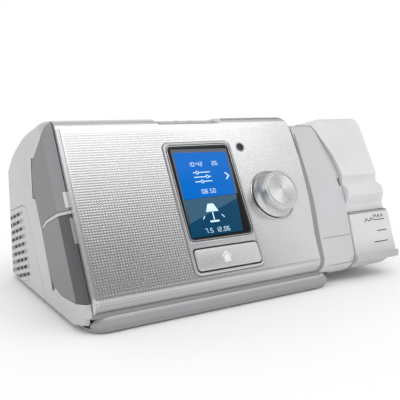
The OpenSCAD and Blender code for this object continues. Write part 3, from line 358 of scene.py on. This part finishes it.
def silver(name, color, rough, metal):
    """Silver lacquer on plastic: fine metal flake under a satin top."""
    m = Material(name, color, rough, metal)
    flake, mottle = flake_and_mottle(m, 22)
    m.tint(mottle, shade(color, 0.95), shade(color, 1.03))
    m.vary_rough(flake, 0.04)
    m.bump(m.noise(1400), 0.02 * MM, 0.25)
    return m


def panel_lacquer():
    """Silver lacquer over a relief of fine dots, which fades towards the toe, the crest and the right."""
    base = (0.74, 0.745, 0.75)
    pitch_x, pitch_t, relief = 1.76 * MM, 1.64 * MM, 0.06 * MM
    m = Material("panel_lacquer", base, 0.24, 0.84)
    foot = on_panel(0, 0)
    x, t = m.dot((1, 0, 0), foot), m.dot(PANEL_UP, foot)
    rises = [m.math("ADD", m.math("MULTIPLY", m.wave(d, pitch, "COSINE"), 0.5), 0.5)
             for d, pitch in ((x, pitch_x), (t, pitch_t))]
    dot = m.math("MULTIPLY", *rises)
    above_toe, below_crest = m.ramp(t, 13 * MM, 15 * MM), m.ramp(t, 123 * MM, 128 * MM, 1.0, 0.0)
    inside_left, less_right = m.ramp(x, 6 * MM, 7.5 * MM), m.ramp(x, 66 * MM, 132 * MM, 1.0, 0.4)
    mask = m.math("MULTIPLY", above_toe, below_crest, inside_left, less_right)
    flake, mottle = flake_and_mottle(m, 20)
    # Painted shade: the colour darkens towards the toe, where the rolled front turns down.
    toe = m.ramp(t, 17 * MM, 25 * MM, 0.0, 0.82)
    # Painted shade between the dots of the relief, where the mask holds.
    between = m.math("MULTIPLY", m.math("SUBTRACT", 1.0, dot), mask, -0.34)
    tone = m.math("ADD", toe, m.math("MULTIPLY", mottle, 0.18), between)
    m.tint(tone, shade(base, 0.6), shade(base, 1.06))
    m.vary_rough(flake, 0.03)
    m.bump(m.math("MULTIPLY", dot, mask), relief, 0.8, base=m.bump(flake, 0.01 * MM, 0.2))
    return m


def spun_metal(name, color, rough, anisotropy):
    """Metal turned on a lathe: fine rings round the object's own Z axis and a stretched highlight."""
    m = Material(name, color, rough, 1.0, Anisotropic=anisotropy)
    ring = m.wave(m.from_axis(), 0.16 * MM)
    tangent = m.node("ShaderNodeTangent", direction_type="RADIAL", axis="Z")
    m.link(tangent.outputs[0], m.shader.inputs["Tangent"])
    m.tint(m.ramp(ring, -1, 1), shade(color, 0.97), shade(color, 1.02))
    m.bump(ring, 0.004 * MM, 0.35)
    return m


def glossy(name, rough, metal, scale, dark, light, **sockets):
    """Smooth surface whose tone wanders a little between two colours."""
    m = Material(name, light, rough, metal, **sockets)
    return m.tint(m.ramp(m.noise(scale), 0.3, 0.7), dark)


def tub_plastic(name, foot_shade_color, color):
    """Milky clear plastic, darker towards its foot as painted shade."""
    m = Material(name, color, 0.3, Transmission_Weight=0.3, IOR=1.45)
    # Painted shade: darker towards the foot.
    m.tint(m.ramp(m.dot((0, 0, 1)), 13 * MM, 28 * MM), foot_shade_color)
    m.bump(m.noise(90), 0.08 * MM, 0.25)
    return m.vary_rough(m.noise(35), 0.02)


def base_plastic(name, color, lit_top_color):
    """Moulded grey whose lip is painted lighter on its top than on its side: painted light."""
    m = grained(name, color, 0.45)
    return m.tint(m.ramp(m.dot((0, 0, 1)), 7.4 * MM, 9.2 * MM), color, lit_top_color)


def ribbed(name, color, pitch, direction):
    """Folded filter fleece: rounded ribs at a pitch along a direction, darker in the folds as painted shade.
    """
    m = Material(name, color, 0.7)
    wave = m.wave(m.dot(direction), pitch)
    # Painted shade in the folds of the ribs.
    m.tint(m.ramp(wave, -1, 1), shade(color, 0.8), shade(color, 1.03))
    m.bump(m.noise(2600, 3), 0.15 * MM, 0.5, base=m.bump(wave, pitch / 3, 0.6))
    return m


def foam(name, color):
    """Open-celled foam, its pits darker as painted shade."""
    m = Material(name, color, 0.9)
    cells = m.node("ShaderNodeTexVoronoi")
    cells.inputs["Scale"].default_value = 900
    m.link(m.coords, cells.inputs["Vector"])
    # Painted shade in the pits of the cells.
    m.tint(m.ramp(cells.outputs["Distance"], 0.1, 0.6), shade(color, 0.35))
    m.bump(cells.outputs["Distance"], 0.6 * MM, 0.8)
    return m


def coated_board(name, color):
    """Printed circuit board under solder mask: faint tracks in a fine grid."""
    m = Material(name, color, 0.38, Coat_Weight=0.3, Coat_Roughness=0.2)
    brick = m.node("ShaderNodeTexBrick")
    brick.inputs["Scale"].default_value = 260
    brick.inputs["Mortar Size"].default_value = 0.03
    m.link(m.coords, brick.inputs["Vector"])
    m.tint(m.ramp(brick.outputs["Fac"], 0, 1), color, shade(color, 1.7))
    m.bump(brick.outputs["Fac"], 0.04 * MM, 0.5)
    return m


def cover_moulding(name, color, painted_facet_shading):
    """Moulded cover whose facet along the sloped front gets a colour of its own: painted light where that is
    lighter, painted shade where it is darker.
    """
    m = grained(name, color, 0.42)
    depth = m.dot(-PANEL_OUT, on_panel(0, 0))
    cloud = m.ramp(m.noise(28), 0.35, 0.65, -0.03, 0.03)
    # Painted shading of the facet along the sloped front.
    return m.tint(m.math("ADD", m.ramp(depth, 8.7 * MM, 9.3 * MM), cloud), painted_facet_shading)


def slotted_moulding(name, color, slot_shade_color):
    """Grille moulding with rows of fine upright slots between plain bars, rising to the front, the slots
    painted darker as painted shade.
    """
    m = Material(name, color, 0.5, Specular_IOR_Level=0.4)
    tilt = math.radians(17)
    row_pitch, slot_pitch = 5.21 * MM, 2.2 * MM
    start = at(0, 117, 51.2)
    across = m.dot((0, math.sin(tilt), math.cos(tilt)), start)
    along = m.dot((0, math.cos(tilt), -math.sin(tilt)), start)
    rows = m.ramp(m.wave(across, row_pitch, "COSINE"), -0.25, 0.05)
    hatch = m.wave(along, slot_pitch)
    plain = m.math("MULTIPLY", m.ramp(along, -4.2 * MM, -3.8 * MM), m.ramp(hatch, -1, 1, 0.75, 1.0))
    dashes = m.math("MULTIPLY", m.ramp(along, -9.4 * MM, -9 * MM), m.ramp(hatch, 0.0, 0.5))
    above, below = m.ramp(across, -46.5 * MM, -45 * MM), m.ramp(across, 3 * MM, 4 * MM, 1.0, 0.0)
    mask = m.math("MULTIPLY", rows, m.math("MAXIMUM", plain, dashes), above, below)
    # Painted shade in the slots.
    m.tint(mask, color, slot_shade_color)
    m.vary_rough(m.noise(900, 3), 0.05)
    m.bump(mask, 0.4 * MM, 0.5)
    return m


def rubber(name, color):
    return moulded(name, color, 0.72, 1600, 0.05 * MM)


def brushed(name, color, rough):
    """Drawn metal with fine lines along its length."""
    m = Material(name, color, rough, 1.0)
    lines = m.noise(700, 3, (1, 1, 0.04))
    m.tint(m.ramp(lines, 0.35, 0.65), shade(color, 0.88), shade(color, 1.05))
    m.bump(lines, 0.02 * MM, 0.3)
    return m.vary_rough(lines, 0.05)


def windings(name, color):
    """Varnished copper wire, wound round, darker between the turns as painted shade."""
    m = Material(name, color, 0.3, 1.0, Coat_Weight=0.5)
    wave = m.wave(m.dot((0, 0, 1)), 0.5 * MM)
    # Painted shade between the turns.
    m.tint(m.ramp(wave, -1, 1), shade(color, 0.45))
    m.bump(wave, 0.1 * MM, 0.8)
    return m


def lit(name, color, strength):
    """A field of the lit display under glass, with the faint lines of its pixels."""
    m = Material(name, color, 0.12, Specular_IOR_Level=0.12)
    rows = m.wave(m.dot(PANEL_UP, on_panel(0, 0)), 0.22 * MM)
    tone = m.math("ADD", m.math("MULTIPLY", rows, 0.1), m.noise(18))
    m.tint(m.ramp(tone, 0.2, 0.8), shade(color, 0.93), shade(color, 1.06))
    return m.put("Emission Color", m.color + (1,)).put("Emission Strength", strength)


# Materials of the CAD nodes
housing = silver("housing_silver", (0.60, 0.605, 0.61), 0.42, 0.2)
shell = silver("shell_silver", (0.63, 0.635, 0.645), 0.38, 0.25)
frame_silver = silver("frame_silver", (0.62, 0.625, 0.64), 0.25, 0.6)
button_silver = silver("button_silver", (0.66, 0.665, 0.675), 0.28, 0.45)
start_silver = silver("start_silver", (0.64, 0.645, 0.655), 0.4, 0.2)
knob_metal = silver("knob_metal", (0.66, 0.665, 0.675), 0.3, 0.95)
base_grey = base_plastic("base_grey", (0.335, 0.339, 0.347), (0.56, 0.565, 0.575))
grille_grey = slotted_moulding("grille_grey", (0.62, 0.625, 0.635), (0.27, 0.273, 0.28))
# Its facet along the front is painted lighter: painted light.
cover_dark = cover_moulding("cover_dark", (0.19, 0.193, 0.2), (0.30, 0.305, 0.315))
# Its facet along the front is painted darker: painted shade.
cover_mid = cover_moulding("cover_mid", (0.21, 0.214, 0.222), (0.10, 0.102, 0.107))
dock_grey = moulded("dock_grey", (0.12, 0.122, 0.128), 0.5)
duct_grey = moulded("duct_grey", (0.13, 0.132, 0.138), 0.5)
outlet_grey = moulded("outlet_grey", (0.20, 0.205, 0.215), 0.38)
clip_grey = moulded("clip_grey", (0.16, 0.163, 0.17), 0.42)
tray_grey = moulded("tray_grey", (0.50, 0.505, 0.515), 0.32)
black_plastic = moulded("black_plastic", (0.022, 0.022, 0.024), 0.42)
white_plastic = moulded("white_plastic", (0.68, 0.68, 0.665), 0.45)
lid_grey = moulded("lid_milky", (0.74, 0.745, 0.755), 0.32, 1500, 0.01 * MM, Subsurface_Weight=0.15,
                   Subsurface_Scale=0.004)
tub_clear = tub_plastic("tub_clear", (0.62, 0.625, 0.635), (0.93, 0.935, 0.94))
foot_rubber = rubber("foot_rubber", (0.025, 0.025, 0.027))
seal_rubber = rubber("seal_rubber", (0.05, 0.05, 0.053))
seal_grey = rubber("seal_grey", (0.34, 0.345, 0.355))
steel = brushed("drawn_steel", (0.52, 0.52, 0.53), 0.32)
aluminium = brushed("heater_aluminium", (0.62, 0.625, 0.64), 0.28)
chrome = glossy("ring_chrome", 0.2, 1.0, 30, (0.5, 0.505, 0.52), (0.6, 0.605, 0.62))
chrome.bump(chrome.noise(600), 0.006 * MM, 0.2)
lens_black = glossy("lens_black", 0.12, 0.0, 25, (0.005, 0.005, 0.006), (0.009, 0.009, 0.01),
                    Specular_IOR_Level=0.16)
sensor = glossy("sensor_smoke", 0.16, 0.0, 300, (0.012, 0.012, 0.013), (0.05, 0.05, 0.052),
                Specular_IOR_Level=0.2)

node_materials = {
    "base_tray": base_grey, "rubber_feet": foot_rubber, "base_screws": steel, "upper_housing": housing,
    "front_panel": panel_lacquer(), "humidifier_shell": shell, "humidifier_dock": dock_grey,
    "heater_plate": aluminium, "docking_seals": seal_rubber, "screen_frame": frame_silver,
    "screen_lens": lens_black, "lcd_module": black_plastic, "sensor_lens": sensor,
    "display_board": coated_board("display_board_mask", (0.02, 0.13, 0.06)),
    "main_board": coated_board("main_board_mask", (0.015, 0.1, 0.05)), "board_screws": steel,
    "sd_socket": steel, "adapter_connector": black_plastic, "dial_encoder": black_plastic,
    "dial_ring": chrome, "dial_plunger": white_plastic, "dial_shaft": steel, "dial_knob": knob_metal,
    "home_button": button_silver, "home_switch": black_plastic, "start_button": start_silver,
    "start_switch": coated_board("start_board_mask", (0.02, 0.11, 0.055)),
    "power_inlet": black_plastic, "retention_clip": clip_grey, "clip_pin": steel, "air_outlet": outlet_grey,
    "outlet_elbow": duct_grey, "blower_duct": seal_rubber, "blower_mount": seal_rubber, "motor_case": steel,
    "motor_stator": windings("winding_copper", (0.55, 0.2, 0.07)), "motor_bearings": steel,
    "rotor_shaft": steel, "impeller": white_plastic, "volute_lower": duct_grey, "volute_upper": duct_grey,
    "muffler_foam": foam("foam_grey", (0.06, 0.06, 0.065)),
    "air_filter": ribbed("filter_fleece", (0.75, 0.75, 0.72), 2.2 * MM, (0, 1, 0)),
    "filter_cover": grille_grey, "filter_cover_pin": steel, "sd_cover": cover_dark, "sd_cover_pin": steel,
    "adapter_cover": cover_mid, "adapter_cover_pin": steel, "tub_base": tub_clear, "tub_tray": tray_grey,
    "tub_plate": aluminium, "tub_seal": seal_grey, "tub_lid": lid_grey,
}
for node, material in node_materials.items():
    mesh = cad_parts[node].data
    mesh.materials.clear()
    mesh.materials.append(material.mat)


# Screen and home key, as left, low, right and high on the panel
FRAME = (71.0, 26.2, 123.2, 115.0)
GLASS = (73.4, 48.4, 120.8, 112.6)
LIP = (72.6, 44.0, 121.6, 46.6)
HOME_KEY = (73.1, 28.6, 121.1, 42.2)
FRAME_R, GLASS_R, LIP_R, HOME_R = 4, 3, 0.5, 2.2
HOME_TOP = 1.8
# Black of the glass gasket, also laid round the home key as painted shade.
black_gasket_and_gap_shade = moulded("black_gasket_and_gap_shade", (0.012, 0.012, 0.013), 0.34)
seam_grey = moulded("seam_grey", (0.11, 0.11, 0.115), 0.5)
edge_grey = moulded("edge_grey", (0.29, 0.293, 0.30), 0.5)


def screen_trim():
    """Bead and seam of the frame, gasket of the glass, a black ring as painted shade in the gap round the
    home key, and the lip between these two.
    """
    band("frame_bead", FRAME, FRAME_R,
         [(0.28, -0.05), (0.34, 0.35), (0.12, 0.78), (-0.25, 1.02), (-0.75, 1.08), (-1.15, 0.98),
          (-1.4, 0.74), (-1.4, 0.5), (0, 0.3)], "case", frame_silver)
    band("frame_seam", FRAME, FRAME_R, [(0.3, -0.04), (0.3, 0.05), (0.72, 0.04), (0.78, -0.04)],
         "case", seam_grey)
    band("glass_gasket", GLASS, GLASS_R,
         [(0.98, 0.6), (0.94, 0.84), (0.7, 0.88), (0.1, 0.5), (-0.5, 0.06), (-1.1, -0.12), (-1.1, -0.3),
          (0.9, 0.5)], "case", black_gasket_and_gap_shade)
    # Black ring in the gap round the home key: painted shade of the gap.
    band("home_key_gap", HOME_KEY, HOME_R, [(0.05, 0.5), (0.42, 0.74), (0.95, 0.8), (1.1, 0.74), (1.1, 0.6)],
         "case", black_gasket_and_gap_shade)
    band("frame_lip", LIP, LIP_R, [(0.35, 0.66), (0.3, 0.78), (0.0, 0.86), (-0.35, 0.8), (-0.4, 0.66)],
         "case", frame_silver)


# Lit display: corners of its fields as the photo shows them, low left, high left, high right and low right
# The first corners outline a grey rim, painted reflection of the glass on the black surround.
REFLECTED_BORDER = ((75.2, 58.5), (76.4, 110.8), (120.6, 109.9), (118.7, 77.0))
UPPER = ((76.6, 75.6), (77.7, 108.4), (118.6, 107.4), (117.2, 76.9))
LOWER = ((74.9, 50.2), (76.5, 75.4), (117.2, 76.7), (114.4, 51.0))
REFLECTED_NOTCH = 59.2
# Heights at left and right of the slanting line above which the teal is paler: painted reflection of the
# glass.
SHEEN_LEFT, SHEEN_RIGHT = 59.4, 73.4
LENS_TOP = -0.2
FIELD_LOW, FIELD_TOP = LENS_TOP - 0.3, LENS_TOP + 0.02
SIGN_LOW, SIGN_TOP = LENS_TOP - 0.2, LENS_TOP + 0.05
ui_pale = lit("display_signs", (0.60, 0.78, 0.90), 0.3)


def between(a, b, t):
    """Point of the line a-b at height t."""
    k = (t - a[1]) / (b[1] - a[1])
    return (a[0] + (b[0] - a[0]) * k, t)


def display_fields():
    """Blue field over a teal one, paler above a slanting line, with a grey rim round the blue: the paler
    teal and the grey rim are painted reflection of the glass, faintly glowing.
    """
    left, right = between(LOWER[0], LOWER[1], SHEEN_LEFT), between(LOWER[3], LOWER[2], SHEEN_RIGHT)
    reflected_border = [REFLECTED_BORDER[0], (UPPER[0][0], REFLECTED_NOTCH), *UPPER, *REFLECTED_BORDER[:0:-1]]
    fields = {
        # The grey rim and the paler teal glow faintly and stand for a reflection of the glass: painted
        # reflection.
        "display_border_painted_reflection": (reflected_border, lit("display_border_painted_reflection", (0.115, 0.125, 0.145), 0.05)),
        "display_upper_field": (UPPER, lit("display_blue", (0.0, 0.125, 0.50), 0.25)),
        "display_lower_field": ([LOWER[0], left, right, LOWER[3]],
                                lit("display_teal", (0.004, 0.055, 0.125), 0.1)),
        "display_lower_painted_sheen": ([left, LOWER[1], LOWER[2], right],
                                lit("display_teal_painted_sheen", (0.045, 0.115, 0.185), 0.12)),
    }
    for name, (outline, look) in fields.items():
        plates(name, [outline], on_panel, FIELD_LOW, FIELD_TOP, "case", look)


def display_signs():
    """Generic menu: three sliders as a settings sign, an arrow to the next page and a night lamp."""
    signs = []
    slider_left, slider_right, knob_gap, line = 88.6, 101.6, 1.3, 0.6
    for t, knob in ((93.6, 91.8), (90.4, 98.6), (87.2, 94.0)):
        signs.append(stroke([(slider_left, t), (knob - knob_gap, t)], line))
        signs.append(stroke([(knob + knob_gap, t), (slider_right, t)], line))
        signs += ring_stroke(arc(knob, t, 1.0, 0, 345, 14), 0.5)
    signs.append(stroke([(113.0, 92.4), (115.6, 90.0), (113.0, 87.6)], 0.9))
    lamp_x, shade_low, shade_high = 95.0, 66.2, 71.6
    signs.append([(lamp_x - 4.8, shade_low), (lamp_x + 4.8, shade_low), (lamp_x + 2.2, shade_high),
                  (lamp_x - 2.2, shade_high)])
    signs.append(stroke([(lamp_x, 65.8), (lamp_x, 60.6)], 0.8))
    signs.append(rounded_box(lamp_x - 3.6, 59.0, lamp_x + 3.6, 60.2, 0.5, 3))
    for dx in (-6.4, 6.4):
        signs.append(stroke([(lamp_x + dx, 63.6), (lamp_x + dx * 1.28, 61.6)], line))
    plates("display_signs", signs, on_panel, SIGN_LOW, SIGN_TOP, "case", ui_pale)


# Digits of seven segments, each a line between two corners
SEGMENTS = {"0": "abcdef", "1": "bc", "2": "abged", "3": "abgcd", "4": "fgbc", "5": "afgcd", "6": "afgedc",
            "7": "abc", "8": "abcdefg", "9": "abcdfg"}
CORNERS = {"a": ((0, 2), (1, 2)), "b": ((1, 2), (1, 1)), "c": ((1, 1), (1, 0)), "d": ((0, 0), (1, 0)),
           "e": ((0, 1), (0, 0)), "f": ((0, 2), (0, 1)), "g": ((0, 1), (1, 1))}
DIGIT_W, DIGIT_H, DIGIT_LINE, DIGIT_STEP = 1.5, 1.35, 0.34, 2.5
POINT, POINT_R, POINT_STEP = 0.5, 0.2, 0.55 * DIGIT_STEP
POINT_RISES = {":": (0.45 * DIGIT_H, 1.35 * DIGIT_H), ".": (-0.1,)}


def number(text, x, t):
    """Outlines of plain digits, their middle at x and their foot at t."""
    out = []
    steps = [DIGIT_STEP if c.isdigit() else POINT_STEP for c in text]
    x -= sum(steps) / 2
    for c, step in zip(text, steps):
        for s in SEGMENTS.get(c, ""):
            out.append(stroke([(x + a * DIGIT_W, t + b * DIGIT_H) for a, b in CORNERS[s]], DIGIT_LINE))
        for rise in POINT_RISES.get(c, ()):
            out.append(rounded_box(x, t + rise, x + POINT, t + rise + POINT, POINT_R, 2))
        x += step
    return out


def display_numbers():
    """Plain numbers of the menu."""
    numbers = (("10:42", 92.5, 98.2), ("26", 107.5, 98.2), ("08.50", 97.2, 78.9), ("7.5", 89.4, 52.4),
               ("12.06", 99.8, 52.4))
    outlines = [o for text, x, t in numbers for o in number(text, x, t)]
    plates("display_numbers", outlines, on_panel, SIGN_LOW, SIGN_TOP, "case", ui_pale)


def home_button():
    """Raised top of the home key, with a house as its sign."""
    profile = [(0, -0.3), (0, 1.2), (-0.1, 1.48), (-0.4, 1.72), (-0.85, HOME_TOP)]
    home_key = band("home_key_top", HOME_KEY, HOME_R, profile, "home_key", button_silver,
                    capped=True)
    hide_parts("home_button")
    x, eaves = 95.3, 35.5
    roof = stroke([(x - 3.4, eaves), (x, 38.6), (x + 3.4, eaves)], 1.0)
    walls = [(x - 2.4, 31.9), (x + 2.4, 31.9), (x + 2.4, 35.1), (x, 37.3), (x - 2.4, 35.1)]
    white = moulded("home_sign_white", (0.86, 0.86, 0.85), 0.4)
    plates("home_sign", [roof, walls], on_panel, HOME_TOP - 0.2, HOME_TOP + 0.06, "home_key", white,
           0.05)


# Dial and sensor on the panel
DIAL_X, DIAL_T, DIAL_H, FACE_R, FACE_RIM = 146.8, 73.0, 11.4, 11.8, 0.25
SENSOR_X, SENSOR_T, SENSOR_R = 131.6, 110.3, 3
SEAM_X, SEAM_T, SEAM_R = DIAL_X + 0.4, DIAL_T - 0.3, 17.5


def dial_and_sensor():
    """Turned and slightly dished face of the dial, the seam round its skirt and the sensor's rim."""
    place = Matrix((Vector((1, 0, 0)), PANEL_UP, PANEL_OUT)).transposed().to_4x4()
    place.translation = on_panel(DIAL_X, DIAL_T)
    rim = [(FACE_R, DIAL_H - 0.8), (FACE_R, DIAL_H - FACE_RIM), (FACE_R - FACE_RIM, DIAL_H)]
    steps, dip, centre_r, centre_dip = 12, 0.02, 0.25, 0.25
    dish = [(FACE_R * (1 - k / steps), DIAL_H - dip * k) for k in range(1, steps)]
    centre = [(centre_r, DIAL_H - centre_dip)]
    face_metal = spun_metal("spun_face", (0.72, 0.725, 0.735), 0.26, 0.75)
    dial_face = turned("dial_face", rim + dish + centre, place, "dial", face_metal)
    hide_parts("dial_cap")
    round_band("dial_seam", SEAM_X, SEAM_T, SEAM_R, [(0, 0.03), (0, 0.09), (0.4, 0.09), (0.4, 0.03)],
               seam_grey, 16)
    round_band("sensor_rim", SENSOR_X, SENSOR_T, SENSOR_R,
               [(-0.1, -0.3), (-0.1, 0.12), (0.25, 0.3), (0.6, 0.22), (0.75, 0.02)],
               frame_silver, 10)


# Seams and trims of the front, as x and height
EDGE_IN = ((183.2, 104), (181.1, 86.8), (178.3, 61), (172.7, 35.7), (170.5, 19.6), (168.6, 15.2),
           (164.6, 11.6))
EDGE_OUT = ((184.3, 104), (183.8, 86.7), (182.2, 60.7), (176.8, 35.3), (173.9, 19.3), (171.8, 13.6),
            (166.0, 10.0))
TRIM_X, TRIM_TOP = 183.6, 64
RIM_LOW, RIM_STEP, RIM_POINTS = 11, 3.24, 32


def upright(x):
    """An upright line at the panel's left edge."""
    return [(x, RIM_LOW + RIM_STEP * i) for i in range(RIM_POINTS)]


def front_seams():
    """Slanted seam and trim of the panel's right edge, rim of its left edge and lines of the side band."""
    inner, outer = soft_curve(EDGE_IN), soft_curve(EDGE_OUT)
    ribbon("edge_seam", inner, outer, 0.02, 0.1, edge_grey)
    trim = [p for p in outer if p[1] < TRIM_TOP]
    ribbon("edge_trim", trim, [(TRIM_X, p[1]) for p in trim], 0.0, 0.09, shell)
    ribbon("left_rim", upright(3.2), upright(5.0), 0.0, 0.4, frame_silver)
    ribbon("left_rim_seam", upright(5.3), upright(5.75), 0.0, 0.06, edge_grey)
    band_left, band_right, half_line = 178, 205, 0.12
    for name, z in (("band_line_high", 32.7), ("band_line_low", 14.7)):
        upper, lower = ([(x, z + d) for x in (band_left, band_right)] for d in (half_line, -half_line))
        ribbon(name, upper, lower, 0.0, 0.1, seam_grey)


def foot_bead():
    """Grey bead between the rolled foot of the panel and the lip under it."""
    section = [(5.6, 9.3), (2.9, 9.3), (2.7, 10.4), (3.1, 11.3), (3.9, 11.7), (5.6, 10.0)]
    left, right = 2.2, 170
    verts = [at(x, y, z) for x in (left, right) for y, z in section]
    make_piece("foot_bead", verts, ring_faces(2, len(section)), "case", edge_grey)


def start_marks():
    """Two low bumps on the start button."""
    y, z = 61.4, 114.25
    profile = [(1.5, 0), (1.4, 0.35), (0.9, 0.6), (0.3, 0.66)]
    for name, x in (("start_mark_left", 90), ("start_mark_right", 100.5)):
        place = Matrix.Translation(at(x, y, z))
        turned(name, profile, place, "start_key", start_silver, n=24)


def cover_tab(name, low, high, near, deep, x_out, body, material):
    """A tab of a cover, from low to high up the panel's left edge and from near to deep behind it."""
    x_in = 3.3
    section = ((x_in, near), (x_in, deep), (x_out, deep), (x_out, near))
    verts = [on_panel(x, t, -depth) for t in (low, high) for x, depth in section]
    make_piece(name, verts, ring_faces(2, len(section)), body, material)


def cover_tabs():
    """Tabs of the two covers on the left."""
    tab_white = moulded("tab_white", (0.80, 0.80, 0.79), 0.4)
    tab_grey = moulded("tab_grey", (0.36, 0.365, 0.375), 0.42)
    cover_tab("card_tab", 79.0, 88.5, 2.9, 3.6, 0.7, "card_door", tab_white)
    cover_tab("adapter_tab", 57.0, 72.5, 2.5, 3.3, 1.4, "adapter_door", tab_grey)


def level_marks():
    """Wave, letters and lines on the sloped front of the tub, moulded 0.1 mm proud."""
    wave = [(222.8, 38.8), (225.0, 41.0), (226.8, 39.2), (228.4, 39.4), (230.3, 41.3), (232.2, 39.6),
            (243.5, 39.4)]
    lines = [stroke(wave, 0.55)]
    lines += [stroke([(x0, z), (x1, z)], 0.6) for x0, x1, z in ((232.2, 241.8, 32.1), (225.3, 239.6, 24.9))]
    letters = {"M": [[(0, 0), (0, 1), (0.5, 0.35), (1, 1), (1, 0)]],
               "A": [[(0, 0), (0.5, 1), (1, 0)], [(0.2, 0.33), (0.8, 0.33)]],
               "X": [[(0, 0), (1, 1)], [(0, 1), (1, 0)]]}
    left, foot, width, height, step = 233.6, 41.0, 2.5, 2.0, 3.5
    for i, c in enumerate("MAX"):
        for line in letters[c]:
            points = [(left + step * i + width * a, foot + height * b) for a, b in line]
            lines.append(stroke(points, 0.38))
    mark_grey = moulded("mark_grey", (0.07, 0.07, 0.075), 0.5)
    plates("level_marks", lines, on_front, 0.9, 1.12, "tub", mark_grey)


screen_trim()
display_fields()
display_signs()
display_numbers()
home_button()
dial_and_sensor()
front_seams()
foot_bead()
start_marks()
cover_tabs()
level_marks()


# Floor, light and camera, in metres
FLOOR_HALF = 3.0
WHITE_FROM, WHITE_AT = 0.13, 0.24     # the floor runs into the white background between these radii
HORIZON, CEILING, FILL = (0.20, 0.42), 0.15, 0.66
AIM = (0, 0, 0.07)
# Softboxes as place, aim, size and radiance
SOFTBOXES = {
    "front_softbox": ((0.05, -0.64, 1.12), (0.05, -0.64, 0), (1.9, 0.54), 1.65),
    "top_softbox": ((0.05, 0.10, 1.15), (0.05, 0.10, 0), (1.9, 0.7), 0.55),
    "right_softbox": ((0.85, -0.60, 0.62), AIM, (0.5, 0.5), 0.78),
    "rear_softbox": ((0.0, 0.85, 0.85), AIM, (1.4, 0.6), 0.7),
    "left_softbox": ((-1.0, -0.10, 0.50), AIM, (0.7, 0.7), 0.2),
}
# Camera as fitted to the photo
EYE = Vector((-240.9, -374.85, 127.3)) * MM
YAW, PITCH = math.radians(32.05), math.radians(9.10)
FOCAL_PX, PHOTO_PX, FILM_W = 612, 400, 36.0


def make_floor():
    """Pale floor that keeps the object's shadow."""
    mesh = bpy.data.meshes.new("floor")
    s = FLOOR_HALF
    mesh.from_pydata([(-s, -s, 0), (s, -s, 0), (s, s, 0), (-s, s, 0)], [], [(0, 1, 2, 3)])
    floor = bpy.data.objects.new("floor", mesh)
    bpy.context.scene.collection.objects.link(floor)
    m = Material("floor_pale", (0.95, 0.95, 0.95), 0.75)
    mesh.materials.append(m.mat)
    m.tint(m.ramp(m.noise(3), 0.3, 0.7), (0.94, 0.94, 0.94), (0.96, 0.96, 0.96))
    fade = m.ramp(m.from_axis(), WHITE_FROM, WHITE_AT)
    white = m.node("ShaderNodeEmission")
    white.inputs["Strength"].default_value = 1.0
    mix = m.node("ShaderNodeMixShader")
    m.link(m.math("MULTIPLY", fade, seen_rays(m.tree)), mix.inputs[0])
    m.link(m.shader.outputs[0], mix.inputs[1])
    m.link(white.outputs[0], mix.inputs[2])
    m.link(mix.outputs[0], m.tree.nodes["Material Output"].inputs["Surface"])


def make_world():
    """Even fill light. Seen directly or mirrored it is white round the horizon and dimmer above."""
    world = bpy.data.worlds.new("studio")
    bpy.context.scene.world = world
    world.use_nodes = True
    tree = world.node_tree
    soft = tree.nodes["Background"]
    soft.inputs["Color"].default_value = (1, 1, 1, 1)
    soft.inputs["Strength"].default_value = FILL
    seen = tree.nodes.new("ShaderNodeBackground")
    seen.inputs["Color"].default_value = (1, 1, 1, 1)
    split = tree.nodes.new("ShaderNodeSeparateXYZ")
    tree.links.new(tree.nodes.new("ShaderNodeTexCoord").outputs["Generated"], split.inputs[0])
    rise = tree.nodes.new("ShaderNodeMapRange")
    rise.interpolation_type = "SMOOTHSTEP"
    for i, v in enumerate((*HORIZON, 1.0, CEILING)):
        rise.inputs[i + 1].default_value = v
    tree.links.new(split.outputs["Z"], rise.inputs["Value"])
    tree.links.new(rise.outputs["Result"], seen.inputs["Strength"])
    mix = tree.nodes.new("ShaderNodeMixShader")
    tree.links.new(seen_rays(tree), mix.inputs[0])
    tree.links.new(soft.outputs[0], mix.inputs[1])
    tree.links.new(seen.outputs[0], mix.inputs[2])
    tree.links.new(mix.outputs[0], tree.nodes["World Output"].inputs["Surface"])


def make_softboxes():
    for name, (where, aim, size, radiance) in SOFTBOXES.items():
        light = bpy.data.lights.new(name, "AREA")
        light.shape = "RECTANGLE"
        light.size, light.size_y = size
        light.energy = radiance * math.pi * size[0] * size[1]
        obj = bpy.data.objects.new(name, light)
        bpy.context.scene.collection.objects.link(obj)
        obj.location = where
        obj.rotation_euler = (Vector(aim) - Vector(where)).to_track_quat("-Z", "Y").to_euler()


def make_camera():
    data = bpy.data.cameras.new("camera")
    data.sensor_width = FILM_W
    data.lens = FILM_W * FOCAL_PX / PHOTO_PX
    data.clip_start, data.clip_end = 0.01, 20
    cam = bpy.data.objects.new("camera", data)
    bpy.context.scene.collection.objects.link(cam)
    cam.location = EYE
    aim = Vector((math.sin(YAW) * math.cos(PITCH), math.cos(YAW) * math.cos(PITCH), -math.sin(PITCH)))
    cam.rotation_mode = "QUATERNION"
    cam.rotation_quaternion = aim.to_track_quat("-Z", "Y")
    bpy.context.scene.camera = cam


make_floor()
make_world()
make_softboxes()
make_camera()
bpy.context.scene.view_settings.view_transform = "Standard"
